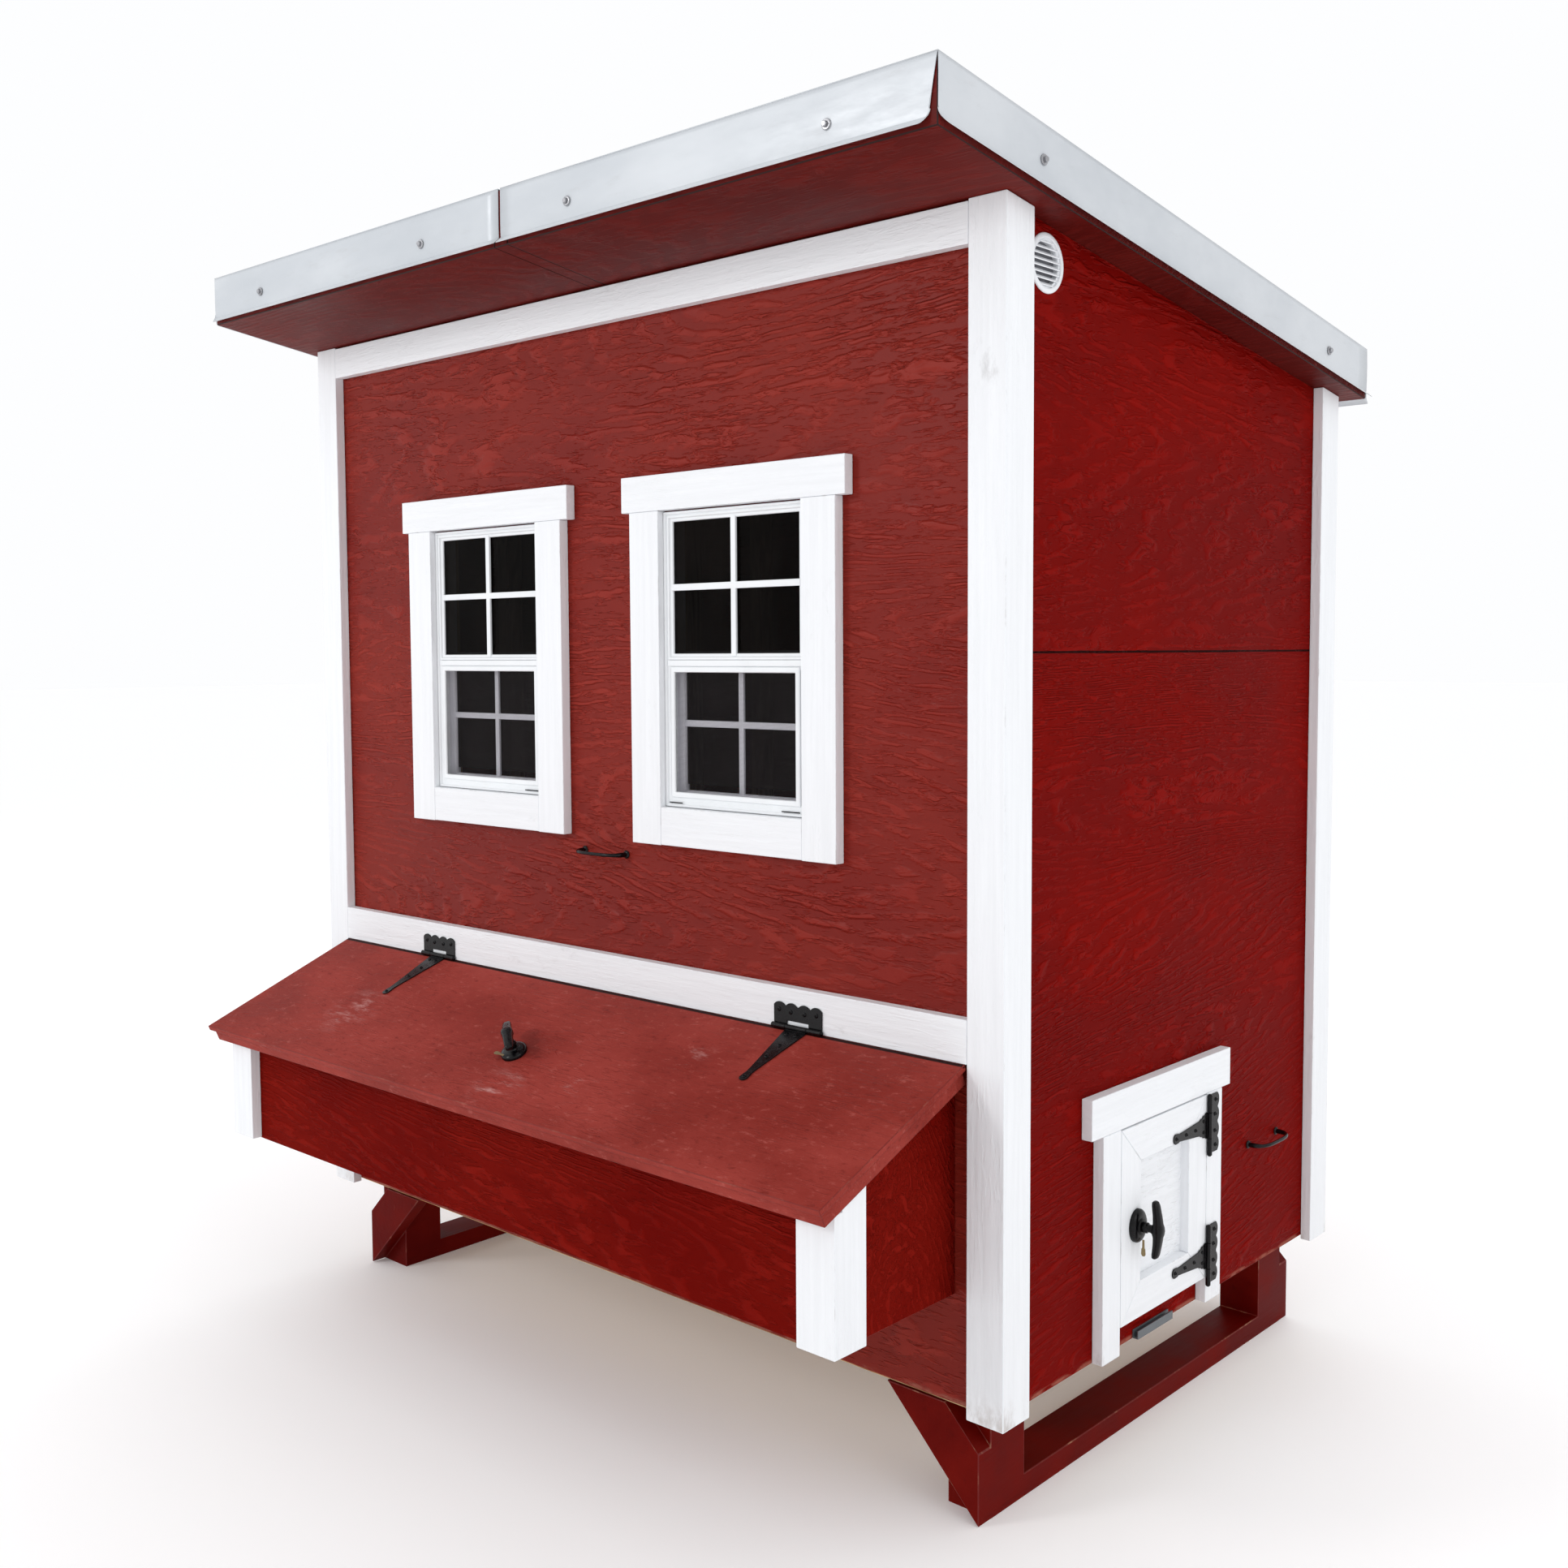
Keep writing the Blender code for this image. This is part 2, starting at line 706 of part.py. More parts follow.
def lid():
    top = -PIN_OFF
    sheet_low = top - LID_SHEET
    hole = circle((0, LID_HANDLE_Y), SPINDLE_HOLE, 16)
    outline = rectangle((-LID_HALF, LID_HALF), (LID_FRONT, LID_BACK))
    node("lid_sheet", [plate(outline, (sheet_low, top), "top", [hole])], "red_lid", LID)
    half = LID_HALF - LID_FRAME_INSET
    front = LID_FRONT + LID_FRAME_INSET
    back = LID_BACK - 0.05
    ribs = spread(-half + LID_BOARD, half - LID_BOARD, LID_RIBS + 2)
    holes = []
    for index in range(LID_RIBS + 1):
        left = ribs[index] + (STUD / 2 if index else 0)
        right = ribs[index + 1] - (STUD / 2 if index < LID_RIBS else 0)
        holes.append(rectangle((left, right), (front + LID_FRONT_BOARD, back - LID_BOARD)))
    span = (sheet_low - GAP - LID_FRAME, sheet_low - GAP)
    frame = plate(rectangle((-half, half), (front, back)), span, "top", holes)
    node("lid_frame", [frame], "red_lid", LID)


# Hinges: in each hinge frame x runs along the pin, +y over the fixed leaf and z out of the face


def hinge_strap(name, frame, x=0.0):
    knuckle = plate(
        circle((0, 0), KNUCKLE, 16),
        (x - STRAP_KNUCKLE, x + STRAP_KNUCKLE),
        "side",
        [circle((0, 0), BORE, 16)],
    )
    root = -0.04
    tip = -STRAP_LENGTH + STRAP_TIP
    outline = [(x + STRAP_ROOT, root), (x - STRAP_ROOT, root)]
    outline += arc((x, tip), STRAP_TIP, 180, 360, 8)
    strap = plate(outline, STRAP_Z, "top")
    node(name, [knuckle, strap], "hardware", frame, smooth=True)


def hinge_leaf(name, frame, x=0.0):
    notch = STRAP_KNUCKLE + 0.03
    rise = 0.36
    outline = [
        (x - LEAF_HALF, 0),
        (x - notch, 0),
        (x - notch, rise),
        (x + notch, rise),
        (x + notch, 0),
        (x + LEAF_HALF, 0),
        (x + LEAF_HALF, LEAF_HEIGHT - 0.3),
        (x + LEAF_HALF - 0.3, LEAF_HEIGHT),
        (x - LEAF_HALF + 0.3, LEAF_HEIGHT),
        (x - LEAF_HALF, LEAF_HEIGHT - 0.3),
    ]
    solids = [plate(outline, STRAP_Z, "top")]
    end = LEAF_HALF + 0.06
    for low, high in ((-end, -notch), (notch, end)):
        solids.append(rod((x + low, 0, 0), (x + high, 0, 0), KNUCKLE))
    solids.append(rod((x - notch - LAP, 0, 0), (x + notch + LAP, 0, 0), PIN))
    node(name, solids, "hardware", frame, smooth=True)


def lid_hinges():
    flat = empty("lid_hinge_wall_side", LID_PIN, (math.radians(90), 0, 0), HOUSE)
    for side, x in (("left", -LID_HINGE_X), ("right", LID_HINGE_X)):
        hinge_strap(f"lid_strap_{side}", LID, x)
        hinge_leaf(f"lid_leaf_{side}", flat, x)


def pop_door_hinges():
    """The hinge frame's x runs up the pin, so its +y points back over the jamb."""
    turn = Matrix(((0, 0, 1), (0, 1, 0), (-1, 0, 0))).to_euler()
    frame = empty("pop_door_hinge_line", POP_PIN, turn, HOUSE)
    for place, z in zip(("lower", "upper"), POP_HINGE_Z):
        hinge_strap(f"pop_door_strap_{place}", frame, -z)
        hinge_leaf(f"pop_door_leaf_{place}", frame, -z)


def access_hinge():
    """A continuous hinge: alternate knuckles on the door leaf and on the jamb leaf."""
    turn = Matrix(((0, 1, 0), (0, 0, 1), (1, 0, 0))).to_euler()
    frame = empty("access_hinge_line", ACCESS_PIN, turn, HOUSE)
    ends = spread(ACCESS_Z[0] + 1, ACCESS_Z[1] - 1, HINGE_KNUCKLES + 1)
    leaf_reach = 1.3
    for name, first, sign, inner in (("access_door_leaf", 1, -1, BORE), ("access_jamb_leaf", 0, 1, 0)):
        edge = [(ends[0], sign * leaf_reach)]
        solids = []
        for index in range(HINGE_KNUCKLES):
            low, high = ends[index] + GAP, ends[index + 1] - GAP
            mine = index % 2 == first
            near = sign * (0.04 if mine else 0.24)
            edge += [(ends[index], near), (ends[index + 1], near)]
            if not mine:
                continue
            holes = [circle((0, 0), BORE, 16)] if inner else []
            solids.append(plate(circle((0, 0), KNUCKLE, 16), (low, high), "side", holes))
        edge += [(ends[-1], sign * leaf_reach)]
        if not inner:
            solids.append(rod((ends[0] + LAP, 0, 0), (ends[-1] - LAP, 0, 0), PIN))
        node(name, [plate(edge, STRAP_Z, "top"), *solids], "hardware", frame, smooth=True)


# Tee handles: z runs out of the face, the bar and cam lie along y


def rosette_dome():
    """The domed rose under the bar, as rings of one turned profile."""
    profile = [(ROSETTE, GAP), (ROSETTE, 0.08)]
    profile += [
        (ROSETTE * math.cos(a), 0.08 + (ROSETTE_RISE - 0.08) * math.sin(a))
        for a in spread(0.35, math.radians(75), 4)
    ]
    solid = bmesh.new()
    verts = [solid.verts.new((radius, 0, z)) for radius, z in profile]
    edges = [solid.edges.new(pair) for pair in zip(verts, verts[1:])]
    bmesh.ops.spin(
        solid,
        geom=verts + edges,
        cent=(0, 0, 0),
        axis=(0, 0, 1),
        dvec=(0, 0, 0),
        angle=math.radians(360),
        steps=24,
        use_merge=True,
    )
    bmesh.ops.remove_doubles(solid, verts=solid.verts, dist=1e-4)
    bmesh.ops.holes_fill(solid, edges=[edge for edge in solid.edges if edge.is_boundary])
    return face_out(solid)


def tee_handle(name, place, turn, depth, reach, parent):
    """A tee bar on a spindle through the door, with its cam depth behind the face."""
    frame = empty(name + "_axis", place, turn, parent)
    half = BAR_LENGTH / 2
    solids = [
        rosette_dome(),
        rod((0, 0, -depth - CAM[1] / 2), (0, 0, BAR_STANDOFF), SPINDLE),
        rod((0, -half, BAR_STANDOFF), (0, half, BAR_STANDOFF), BAR_RADIUS),
        box((-CAM[0], CAM[0]), (-CAM[0], reach), (-depth - CAM[1], -depth)),
    ]
    node(name, solids, "hardware", frame, smooth=True)


def tee_handles():
    lid_turn = LID_HANDLE_TURN - math.radians(90)
    tee_handle(
        "lid_handle",
        (0, LID_HANDLE_Y, -PIN_OFF),
        (0, 0, lid_turn),
        LID_SHEET + LID_FRAME + 1.2,
        LID_CAM_REACH,
        LID,
    )
    side_turn = Matrix(((0, 0, 1), (1, 0, 0), (0, 1, 0))).to_euler()
    door_depth = HALF_WIDTH - SHELL_SIDE + 0.06
    tee_handle(
        "pop_door_handle",
        (HALF_WIDTH, *POP_HANDLE),
        side_turn,
        door_depth,
        CAM_REACH,
        HOUSE,
    )
    back_turn = Matrix(((-1, 0, 0), (0, 0, 1), (0, 1, 0))).to_euler()
    tee_handle(
        "access_door_handle",
        (ACCESS_HANDLE[0], DEPTH, ACCESS_HANDLE[1]),
        back_turn,
        door_depth,
        CAM_REACH,
        HOUSE,
    )


# Doors


def framed_door(name, u, z, panel, face, border, facing, handle, origin):
    """A sheet with a board border on its face, and a hole for the handle's spindle."""
    u = (u[0] + POP_CLEAR, u[1] - POP_CLEAR)
    z = (z[0] + POP_CLEAR, z[1] - POP_CLEAR)
    hole = circle(handle, SPINDLE_HOLE, 16)
    inner = rectangle((u[0] + border, u[1] - border), (z[0] + border, z[1] - border))
    sheet = plate(rectangle(u, z), panel, facing, [hole])
    boards = plate(rectangle(u, z), face, facing, [inner, hole])
    node(name, [sheet, boards], "white_trim", origin=origin)


def doors():
    skin = HALF_WIDTH - TRIM + GAP
    pop_face = (skin, HALF_WIDTH)
    framed_door("pop_door", POP_Y, POP_Z, POP_PANEL, pop_face, POP_FRAME, "side", POP_HANDLE, POP_PIN)
    skin = DEPTH - TRIM
    framed_door(
        "access_door",
        (-ACCESS_HALF - POP_CLEAR, ACCESS_HALF + POP_CLEAR),
        (ACCESS_Z[0] - POP_CLEAR, ACCESS_Z[1] + POP_CLEAR),
        (SHELL_BACK + GAP, skin + LAP),
        (skin + GAP, DEPTH),
        ACCESS_FRAME,
        "front",
        ACCESS_HANDLE,
        ACCESS_PIN,
    )


def door_trims():
    low, high = POP_Y
    jambs = (low - POP_JAMB, high + POP_JAMB)
    outline = [
        (jambs[0], SIDING_FOOT),
        (low, SIDING_FOOT),
        (low, POP_HEAD[0]),
        (high, POP_HEAD[0]),
        (high, SIDING_FOOT),
        (jambs[1], SIDING_FOOT),
        (jambs[1], POP_HEAD[0]),
        (jambs[1] + 1.1, POP_HEAD[0]),
        (jambs[1] + 1.1, POP_HEAD[1]),
        (jambs[0] - 1.3, POP_HEAD[1]),
        (jambs[0] - 1.3, POP_HEAD[0]),
        (jambs[0], POP_HEAD[0]),
    ]
    span = (HALF_WIDTH - TRIM + GAP, HALF_WIDTH)
    node("pop_door_trim", [plate(outline, span, "side")], "white_trim")
    reach = ACCESS_HALF + POP_CLEAR
    hole = rectangle((-reach, reach), (ACCESS_Z[0] - POP_CLEAR, ACCESS_Z[1] + POP_CLEAR))
    outline = rectangle(
        (-reach - TRIM_WIDTH, reach + TRIM_WIDTH), (ACCESS_Z[0] - TRIM_WIDTH, ACCESS_Z[1] + TRIM_WIDTH)
    )
    span = (DEPTH - TRIM + GAP, DEPTH)
    node("access_door_trim", [plate(outline, span, "front", [hole])], "white_trim")


# Windows


def grid_lights(middle, half, z, bar):
    """Four openings, two by two, divided by a cross of bars."""
    split = (z[0] + z[1]) / 2
    columns = ((middle - half, middle - bar / 2), (middle + bar / 2, middle + half))
    rows = ((z[0], split - bar / 2), (split + bar / 2, z[1]))
    return [rectangle(column, row) for column in columns for row in rows]


def window(side):
    middle = WINDOW_X if side == "right" else -WINDOW_X

    def around(half):
        return (middle - half, middle + half)

    jamb = WINDOW_HALF + JAMB_TRIM
    outline = [
        (middle - jamb, WINDOW_SILL_FOOT),
        (middle + jamb, WINDOW_SILL_FOOT),
        (middle + jamb, WINDOW_HEAD[0]),
        (middle + HEAD_HALF, WINDOW_HEAD[0]),
        (middle + HEAD_HALF, WINDOW_HEAD[1]),
        (middle - HEAD_HALF, WINDOW_HEAD[1]),
        (middle - HEAD_HALF, WINDOW_HEAD[0]),
        (middle - jamb, WINDOW_HEAD[0]),
    ]
    hole = rectangle(around(WINDOW_HALF), WINDOW_Z)
    node(f"window_trim_{side}", [plate(outline, (0, TRIM - GAP), "front", [hole])], "white_trim")

    case_half = WINDOW_HALF - 0.03
    case_z = (WINDOW_Z[0] + 0.03, WINDOW_Z[1] - 0.03)
    inner_half = case_half - CASE_WALL
    inner_z = (case_z[0] + CASE_WALL, case_z[1] - CASE_WALL)
    case_outline = rectangle(around(case_half), case_z)
    case = plate(case_outline, CASE_Y, "front", [rectangle(around(inner_half), inner_z)])
    face_outline = rectangle(around(inner_half + LAP), (inner_z[0] - LAP, inner_z[1] + LAP))
    lights = grid_lights(middle, UPPER_LIGHT_HALF, UPPER_LIGHT, MUNTIN)
    lights.append(rectangle(around(SCREEN_HALF), SCREEN_LIGHT))
    face = plate(face_outline, FACE_Y, "front", lights)
    stop_hole = rectangle(around(inner_half - 0.25), (inner_z[0] + 0.25, inner_z[1] - 0.25))
    stop = plate(face_outline, (CASE_Y[1] - 0.15, CASE_Y[1] - 0.02), "front", [stop_hole])
    node(f"window_frame_{side}", [case, face, stop], "vinyl")

    pane_y = (FACE_Y[1] + GAP, FACE_Y[1] + GAP + PANE)
    pane = box(around(inner_half - 0.05), pane_y, (UPPER_LIGHT[0] - 0.4, inner_z[1] - 0.05))
    node(f"fixed_pane_{side}", [pane], "pane")

    sash_hole = rectangle(around(SASH_LIGHT_HALF), SASH_LIGHT)
    ring = plate(rectangle(around(SASH_HALF), SASH_Z), SASH_Y, "front", [sash_hole])
    bars_outline = rectangle(around(SASH_LIGHT_HALF + LAP), (SASH_LIGHT[0] - LAP, SASH_LIGHT[1] + LAP))
    bars_y = (SASH_Y[0] + 0.06, SASH_Y[0] + 0.22)
    bars = plate(bars_outline, bars_y, "front", grid_lights(middle, SASH_LIGHT_HALF, SASH_LIGHT, MUNTIN))
    foot = (middle, SASH_Y[0], SASH_Z[0])
    node(f"sash_{side}", [ring, bars], "vinyl", origin=foot)
    glass_y = (bars_y[1] + GAP, bars_y[1] + GAP + PANE)
    light_z = (SASH_LIGHT[0] + GAP, SASH_LIGHT[1] - GAP)
    glass = box(around(SASH_LIGHT_HALF - GAP), glass_y, light_z)
    node(f"sash_pane_{side}", [glass], "pane", origin=foot)


# Small hardware and fittings


def bow(place_of):
    """A round rod bent into a squared bow, from one foot to the other."""
    points = []
    for angle in spread(0, math.pi, 17):
        c, s = math.cos(angle), math.sin(angle)
        along = math.copysign(abs(c) ** 0.6, c) * BOW_WIDTH / 2
        points.append(place_of(along, GAP + 0.03 + abs(s) ** 0.6 * BOW_STANDOFF))
    return wire(points, BOW_ROD)


def keepers():
    on_front = bow(lambda along, out: (along, TRIM - out, LID_KEEPER_Z))
    node("lid_keeper", [on_front], "hardware", smooth=True)
    wall = HALF_WIDTH - TRIM
    on_side = bow(lambda along, out: (wall + out, POP_KEEPER[0] + along, POP_KEEPER[1]))
    node("pop_door_keeper", [on_side], "hardware", smooth=True)


def ramp_bracket():
    """A shallow steel channel at the foot of the wall, open upwards for the ramp's hooks."""
    wall = HALF_WIDTH - TRIM + GAP
    metal, deep, foot, top = 0.1, 0.42, 0.34, 0.86
    outline = [
        (wall, foot),
        (wall + deep, foot),
        (wall + deep, top),
        (wall + deep - metal, top),
        (wall + deep - metal, foot + metal),
        (wall + metal, foot + metal),
        (wall + metal, top),
        (wall, top),
    ]
    node("ramp_bracket", [plate(outline, BRACKET_Y, "front")], "bracket")


def roost_bars():
    """Two perches across the house on a cleat at each side."""
    reach = SHELL_SIDE - STUD - 3 * GAP
    height = 24.0
    solids = []
    for y in (26.5, 33.5):
        solids.append(box((-reach, reach), (y, y + STUD), (height, height + STUD)))
    for sign in (-1, 1):
        x = tuple(sorted((sign * (reach - TRIM), sign * reach)))
        solids.append(box(x, (24.0, 37.5), (height - 2.4, height + LAP)))
    node("roost_bars", solids, "bare_wood")


def build():
    for side in ("left", "right"):
        skid_frame(side)
    floor_frame()
    front_wall_frame()
    back_wall_frame()
    siding_front()
    siding_back()
    corner_posts()
    front_boards()
    nest_box()
    lid()
    for side in ("left", "right"):
        side_wall_frame(side)
        siding_side(side)
        roof_panel(side)
        roof_skin(side)
        vent(side)
        nest_corner(side)
        window(side)
    lid_hinges()
    door_trims()
    doors()
    pop_door_hinges()
    access_hinge()
    tee_handles()
    keepers()
    ramp_bracket()
    roost_bars()


build()
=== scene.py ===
"""Looks of the chicken coop: fine geometry, procedural materials, studio floor, light and camera.

Lengths are in inches in the coop's own frame (x from the middle, y backwards from the front trim
face, z up from the foot of the corner boards); piece() turns them into the metres of the CAD frame.
"""

import math

import bmesh
import bpy
from mathutils import Matrix, Vector, noise


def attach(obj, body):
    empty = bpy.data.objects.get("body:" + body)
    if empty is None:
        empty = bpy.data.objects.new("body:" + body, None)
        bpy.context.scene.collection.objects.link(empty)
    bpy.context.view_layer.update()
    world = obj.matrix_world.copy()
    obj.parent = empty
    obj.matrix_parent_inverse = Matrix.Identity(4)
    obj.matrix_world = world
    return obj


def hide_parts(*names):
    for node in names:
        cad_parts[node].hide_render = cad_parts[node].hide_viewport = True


INCH = 0.0254
PLAN_CENTRE_Y = 15.5
GROUND = -6.6
TO_METRES = Matrix.Scale(INCH, 4) @ Matrix.Translation((0, -PLAN_CENTRE_Y, -GROUND))

# House
HALF_WIDTH = 33.0
DEPTH = 41.37
TRIM = 0.75
GAP = 0.012
WALL = HALF_WIDTH - TRIM  # outer face of the side siding
BOARD = (0.0, TRIM - GAP)  # a trim board, from its face to just short of the siding
SIDING_FOOT = 0.3
SHEET_SEAM = 42.75
VENT = (4.8, 64.0)

# Roof
ROOF_SLOPE = 0.147
ROOF_UNDER = 66.89
ROOF_RISE = 3.5
ROOF_FRONT = -7.86
ROOF_BACK = 42.74
ROOF_SIDE = 34.41
FASCIA_DROP = 3.0
KICK_OUT = 0.42
KICK_DROP = 0.35
PAN_SEAM = 0.6  # where the two roof pans meet, from the middle
PAN_METAL = 0.05

# Windows
WINDOW_X = 12.3
WINDOW_HALF = 6.1
WINDOW_Z = (32.9, 51.85)
JAMB_TRIM = 2.7
WINDOW_HEAD = (51.9, 54.2)
HEAD_HALF = 9.55
WINDOW_SILL_FOOT = 30.4
MUNTIN = 0.21  # half a bar's width

# Nest lid
LID_SLOPE = math.atan(0.41)
LID_PIN = Vector((0.0, -0.18, 20.25))
LID_HINGE_X = 18.1
LID_HANDLE = Vector((0.0, -7.75, -0.18))
LID_HANDLE_TURN = math.radians(-38)

# Doors
POP_Y = (12.35, 22.95)
POP_Z = (2.0, 14.1)
POP_PIN = Vector((33.18, 23.0, 0.0))
POP_HINGE_Z = {"lower": 3.5, "upper": 12.13}
POP_HANDLE = Vector((33.0, 14.1, 7.9))
ACCESS_X = (-11.0, 11.0)
ACCESS_Z = (8.0, 48.0)
ACCESS_HANDLE = Vector((-9.3, 41.37, 28.0))
DOOR_PANEL = (0.62, 1.1)  # depth of a panel behind its boards' faces

# Studio
AMBIENT = 0.93
FLOOR_GLOW = 0.1

LID = Matrix.Translation(LID_PIN) @ Matrix.Rotation(LID_SLOPE, 4, "X")

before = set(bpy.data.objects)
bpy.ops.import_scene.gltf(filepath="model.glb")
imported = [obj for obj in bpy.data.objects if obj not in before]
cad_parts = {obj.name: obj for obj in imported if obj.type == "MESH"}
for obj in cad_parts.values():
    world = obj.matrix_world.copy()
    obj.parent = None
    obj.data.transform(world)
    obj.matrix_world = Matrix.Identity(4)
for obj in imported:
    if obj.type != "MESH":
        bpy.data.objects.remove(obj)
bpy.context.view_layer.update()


# Materials


class Finish:
    """A Principled material and short calls for the nodes that drive it."""

    def __init__(self, name, roughness=0.5, metallic=0.0, specular=0.5):
        self.material = bpy.data.materials.new(name)
        self.material.use_nodes = True
        self.tree = self.material.node_tree
        self.shader = self.tree.nodes["Principled BSDF"]
        self.set("Roughness", roughness)
        self.set("Metallic", metallic)
        self.set("Specular IOR Level", specular)
        self.object = self.add("ShaderNodeTexCoord").outputs["Object"]

    def add(self, kind, **settings):
        made = self.tree.nodes.new(kind)
        for key, value in settings.items():
            setattr(made, key, value)
        return made

    def feed(self, socket, source):
        if isinstance(source, bpy.types.NodeSocket):
            self.tree.links.new(source, socket)
        else:
            socket.default_value = source

    def set(self, name, source):
        self.feed(self.shader.inputs[name], source)

    def calc(self, operation, a, b=0.0, clamp=False):
        made = self.add("ShaderNodeMath", operation=operation, use_clamp=clamp)
        self.feed(made.inputs[0], a)
        self.feed(made.inputs[1], b)
        return made.outputs[0]

    def stretched(self, scale, turn=(0, 0, 0)):
        made = self.add("ShaderNodeMapping")
        self.feed(made.inputs["Vector"], self.object)
        made.inputs["Scale"].default_value = scale
        made.inputs["Rotation"].default_value = turn
        return made.outputs[0]

    def noise(self, scale, stretch=(1, 1, 1), detail=4.0, roughness=0.55, turn=(0, 0, 0), swirl=0.0):
        made = self.add("ShaderNodeTexNoise")
        self.feed(made.inputs["Vector"], self.stretched(stretch, turn))
        made.inputs["Distortion"].default_value = swirl
        made.inputs["Scale"].default_value = scale
        made.inputs["Detail"].default_value = detail
        made.inputs["Roughness"].default_value = roughness
        return made.outputs["Fac"]

    def span(self, value, low, high, start=0.0, end=1.0):
        made = self.add("ShaderNodeMapRange", interpolation_type="SMOOTHSTEP")
        self.feed(made.inputs["Value"], value)
        made.inputs["From Min"].default_value = low
        made.inputs["From Max"].default_value = high
        made.inputs["To Min"].default_value = start
        made.inputs["To Max"].default_value = end
        return made.outputs["Result"]

    def axis(self, letter):
        made = self.add("ShaderNodeSeparateXYZ")
        self.feed(made.inputs[0], self.object)
        return made.outputs[letter]

    def near(self, place, inner, outer):
        """1 within inner inches of a place in coop inches, falling to 0 at outer."""
        made = self.add("ShaderNodeVectorMath", operation="DISTANCE")
        self.feed(made.inputs[0], self.object)
        made.inputs[1].default_value = TO_METRES @ Vector(place)
        return self.span(made.outputs["Value"], inner * INCH, outer * INCH, 1.0, 0.0)

    def near_line(self, place, inner, outer):
        """The same round a line through the place that runs along x."""
        made = self.add("ShaderNodeVectorMath", operation="DISTANCE")
        self.feed(made.inputs[0], self.stretched((0, 1, 1)))
        target = TO_METRES @ Vector(place)
        made.inputs[1].default_value = (0.0, target.y, target.z)
        return self.span(made.outputs["Value"], inner * INCH, outer * INCH, 1.0, 0.0)

    def band(self, letter, middle, half, soft):
        """1 within half of a plane across one axis, falling to 0 over soft (all metres)."""
        off = self.calc("ABSOLUTE", self.calc("SUBTRACT", self.axis(letter), middle))
        return self.span(off, half, half + soft, 1.0, 0.0)

    def mix(self, factor, a, b):
        made = self.add("ShaderNodeMix", data_type="RGBA")
        for name, source in (("Factor", factor), ("A", a), ("B", b)):
            socket = next(s for s in made.inputs if s.name == name and s.enabled)
            if not isinstance(source, (bpy.types.NodeSocket, float)):
                source = (*source, 1.0)
            self.feed(socket, source)
        return next(s for s in made.outputs if s.enabled)

    def bump(self, height, depth, under=None):
        """Relief of a height from 0 to 1 that stands depth metres."""
        made = self.add("ShaderNodeBump")
        made.inputs["Distance"].default_value = depth
        self.feed(made.inputs["Height"], height)
        if under is not None:
            self.feed(made.inputs["Normal"], under)
        return made.outputs[0]

    def done(self, colour, normal=None, roughness=None):
        self.set("Base Color", colour)
        if normal is not None:
            self.set("Normal", normal)
        if roughness is not None:
            self.set("Roughness", roughness)
        return self.material


def srgb(red, green, blue):
    def linear(value):
        value /= 255
        return value / 12.92 if value < 0.04045 else ((value + 0.055) / 1.055) ** 2.4

    return (linear(red), linear(green), linear(blue))


def stretch_along(letter, along, across):
    return tuple(along if axis == letter else across for axis in "XYZ")


def embossed_grain(finish, letter, lines=420.0, tear=0.4):
    """Height of pressed wood grain: torn wavy lines along one axis that swirl round knots."""
    broad = finish.noise(2.6, stretch_along(letter, 0.16, 1.0), 1.0, 0.3, swirl=0.2)
    fine = finish.noise(30, stretch_along(letter, 0.35, 1.0), 2.0, 0.5)
    waver = finish.calc("MULTIPLY", fine, 9.0)
    phase = finish.calc("ADD", finish.calc("MULTIPLY", broad, lines), waver)
    line = finish.span(finish.calc("SINE", phase), -0.4, 0.9)
    torn = finish.noise(60, stretch_along(letter, 0.3, 1.0), 3.0, 0.65, swirl=0.6)
    line = finish.calc("MULTIPLY", line, finish.span(torn, tear, tear + 0.16))
    dashes = finish.span(finish.noise(150, stretch_along(letter, 0.16, 1.0), 2.0, 0.6), 0.52, 0.66)
    line = finish.calc("MAXIMUM", line, finish.calc("MULTIPLY", dashes, 0.7))
    patches = finish.span(finish.noise(5.0, stretch_along(letter, 0.6, 1.0), 3.0), 0.36, 0.62, 0.35, 1.0)
    return finish.calc("MULTIPLY", line, patches)


def siding_red(name, letter, deep, pale, seam=None, gloss=0.42, specular=0.14, relief=0.0032):
    """Red paint over embossed siding, worn along the sheet's foot. seam is an (axis, metres) pair
    where two sheets meet."""
    finish = Finish(name, specular=specular)
    grain = embossed_grain(finish, letter)
    cloud = finish.noise(3.2, stretch_along(letter, 0.7, 1.0), 5.0, 0.6)
    colour = finish.mix(finish.span(cloud, 0.35, 0.68), deep, pale)
    mottle = finish.noise(38, stretch_along(letter, 0.4, 1.0), 4.0, 0.65)
    mottle_and_groove_shade = tuple(0.6 * c for c in deep)
    colour = finish.mix(finish.span(mottle, 0.5, 0.78, 0.0, 0.35), colour, mottle_and_groove_shade)
    ridge_highlight_red = tuple(min(1.0, 1.25 * c + 0.003) for c in pale)
    # Painted light: the grain's grooves take a darker red as painted shade and its ridges a lighter red as
    # painted highlight, on top of the bump relief.
    colour = finish.mix(finish.span(grain, 0.0, 0.35, 0.72, 1.0), mottle_and_groove_shade, colour)
    colour = finish.mix(finish.calc("MULTIPLY", grain, 0.3), colour, ridge_highlight_red)
    foot = (SIDING_FOOT - GROUND) * INCH
    worn = finish.calc("MULTIPLY", finish.band("Z", foot, 0.004, 0.005), finish.span(mottle, 0.42, 0.6))
    colour = finish.mix(worn, colour, WORN_RED)
    normal = finish.bump(grain, relief)
    if seam is not None:
        joint = finish.band(*seam, 0.001, 0.0012)
        colour = finish.mix(joint, colour, tuple(0.1 * c for c in deep))
        normal = finish.bump(finish.calc("SUBTRACT", 1.0, joint), 0.0012, normal)
    roughness = finish.span(cloud, 0.3, 0.7, gloss - 0.05, gloss + 0.12)
    normal = finish.bump(finish.noise(320, detail=2.0), 0.00016, normal)
    return finish.done(colour, normal, roughness)


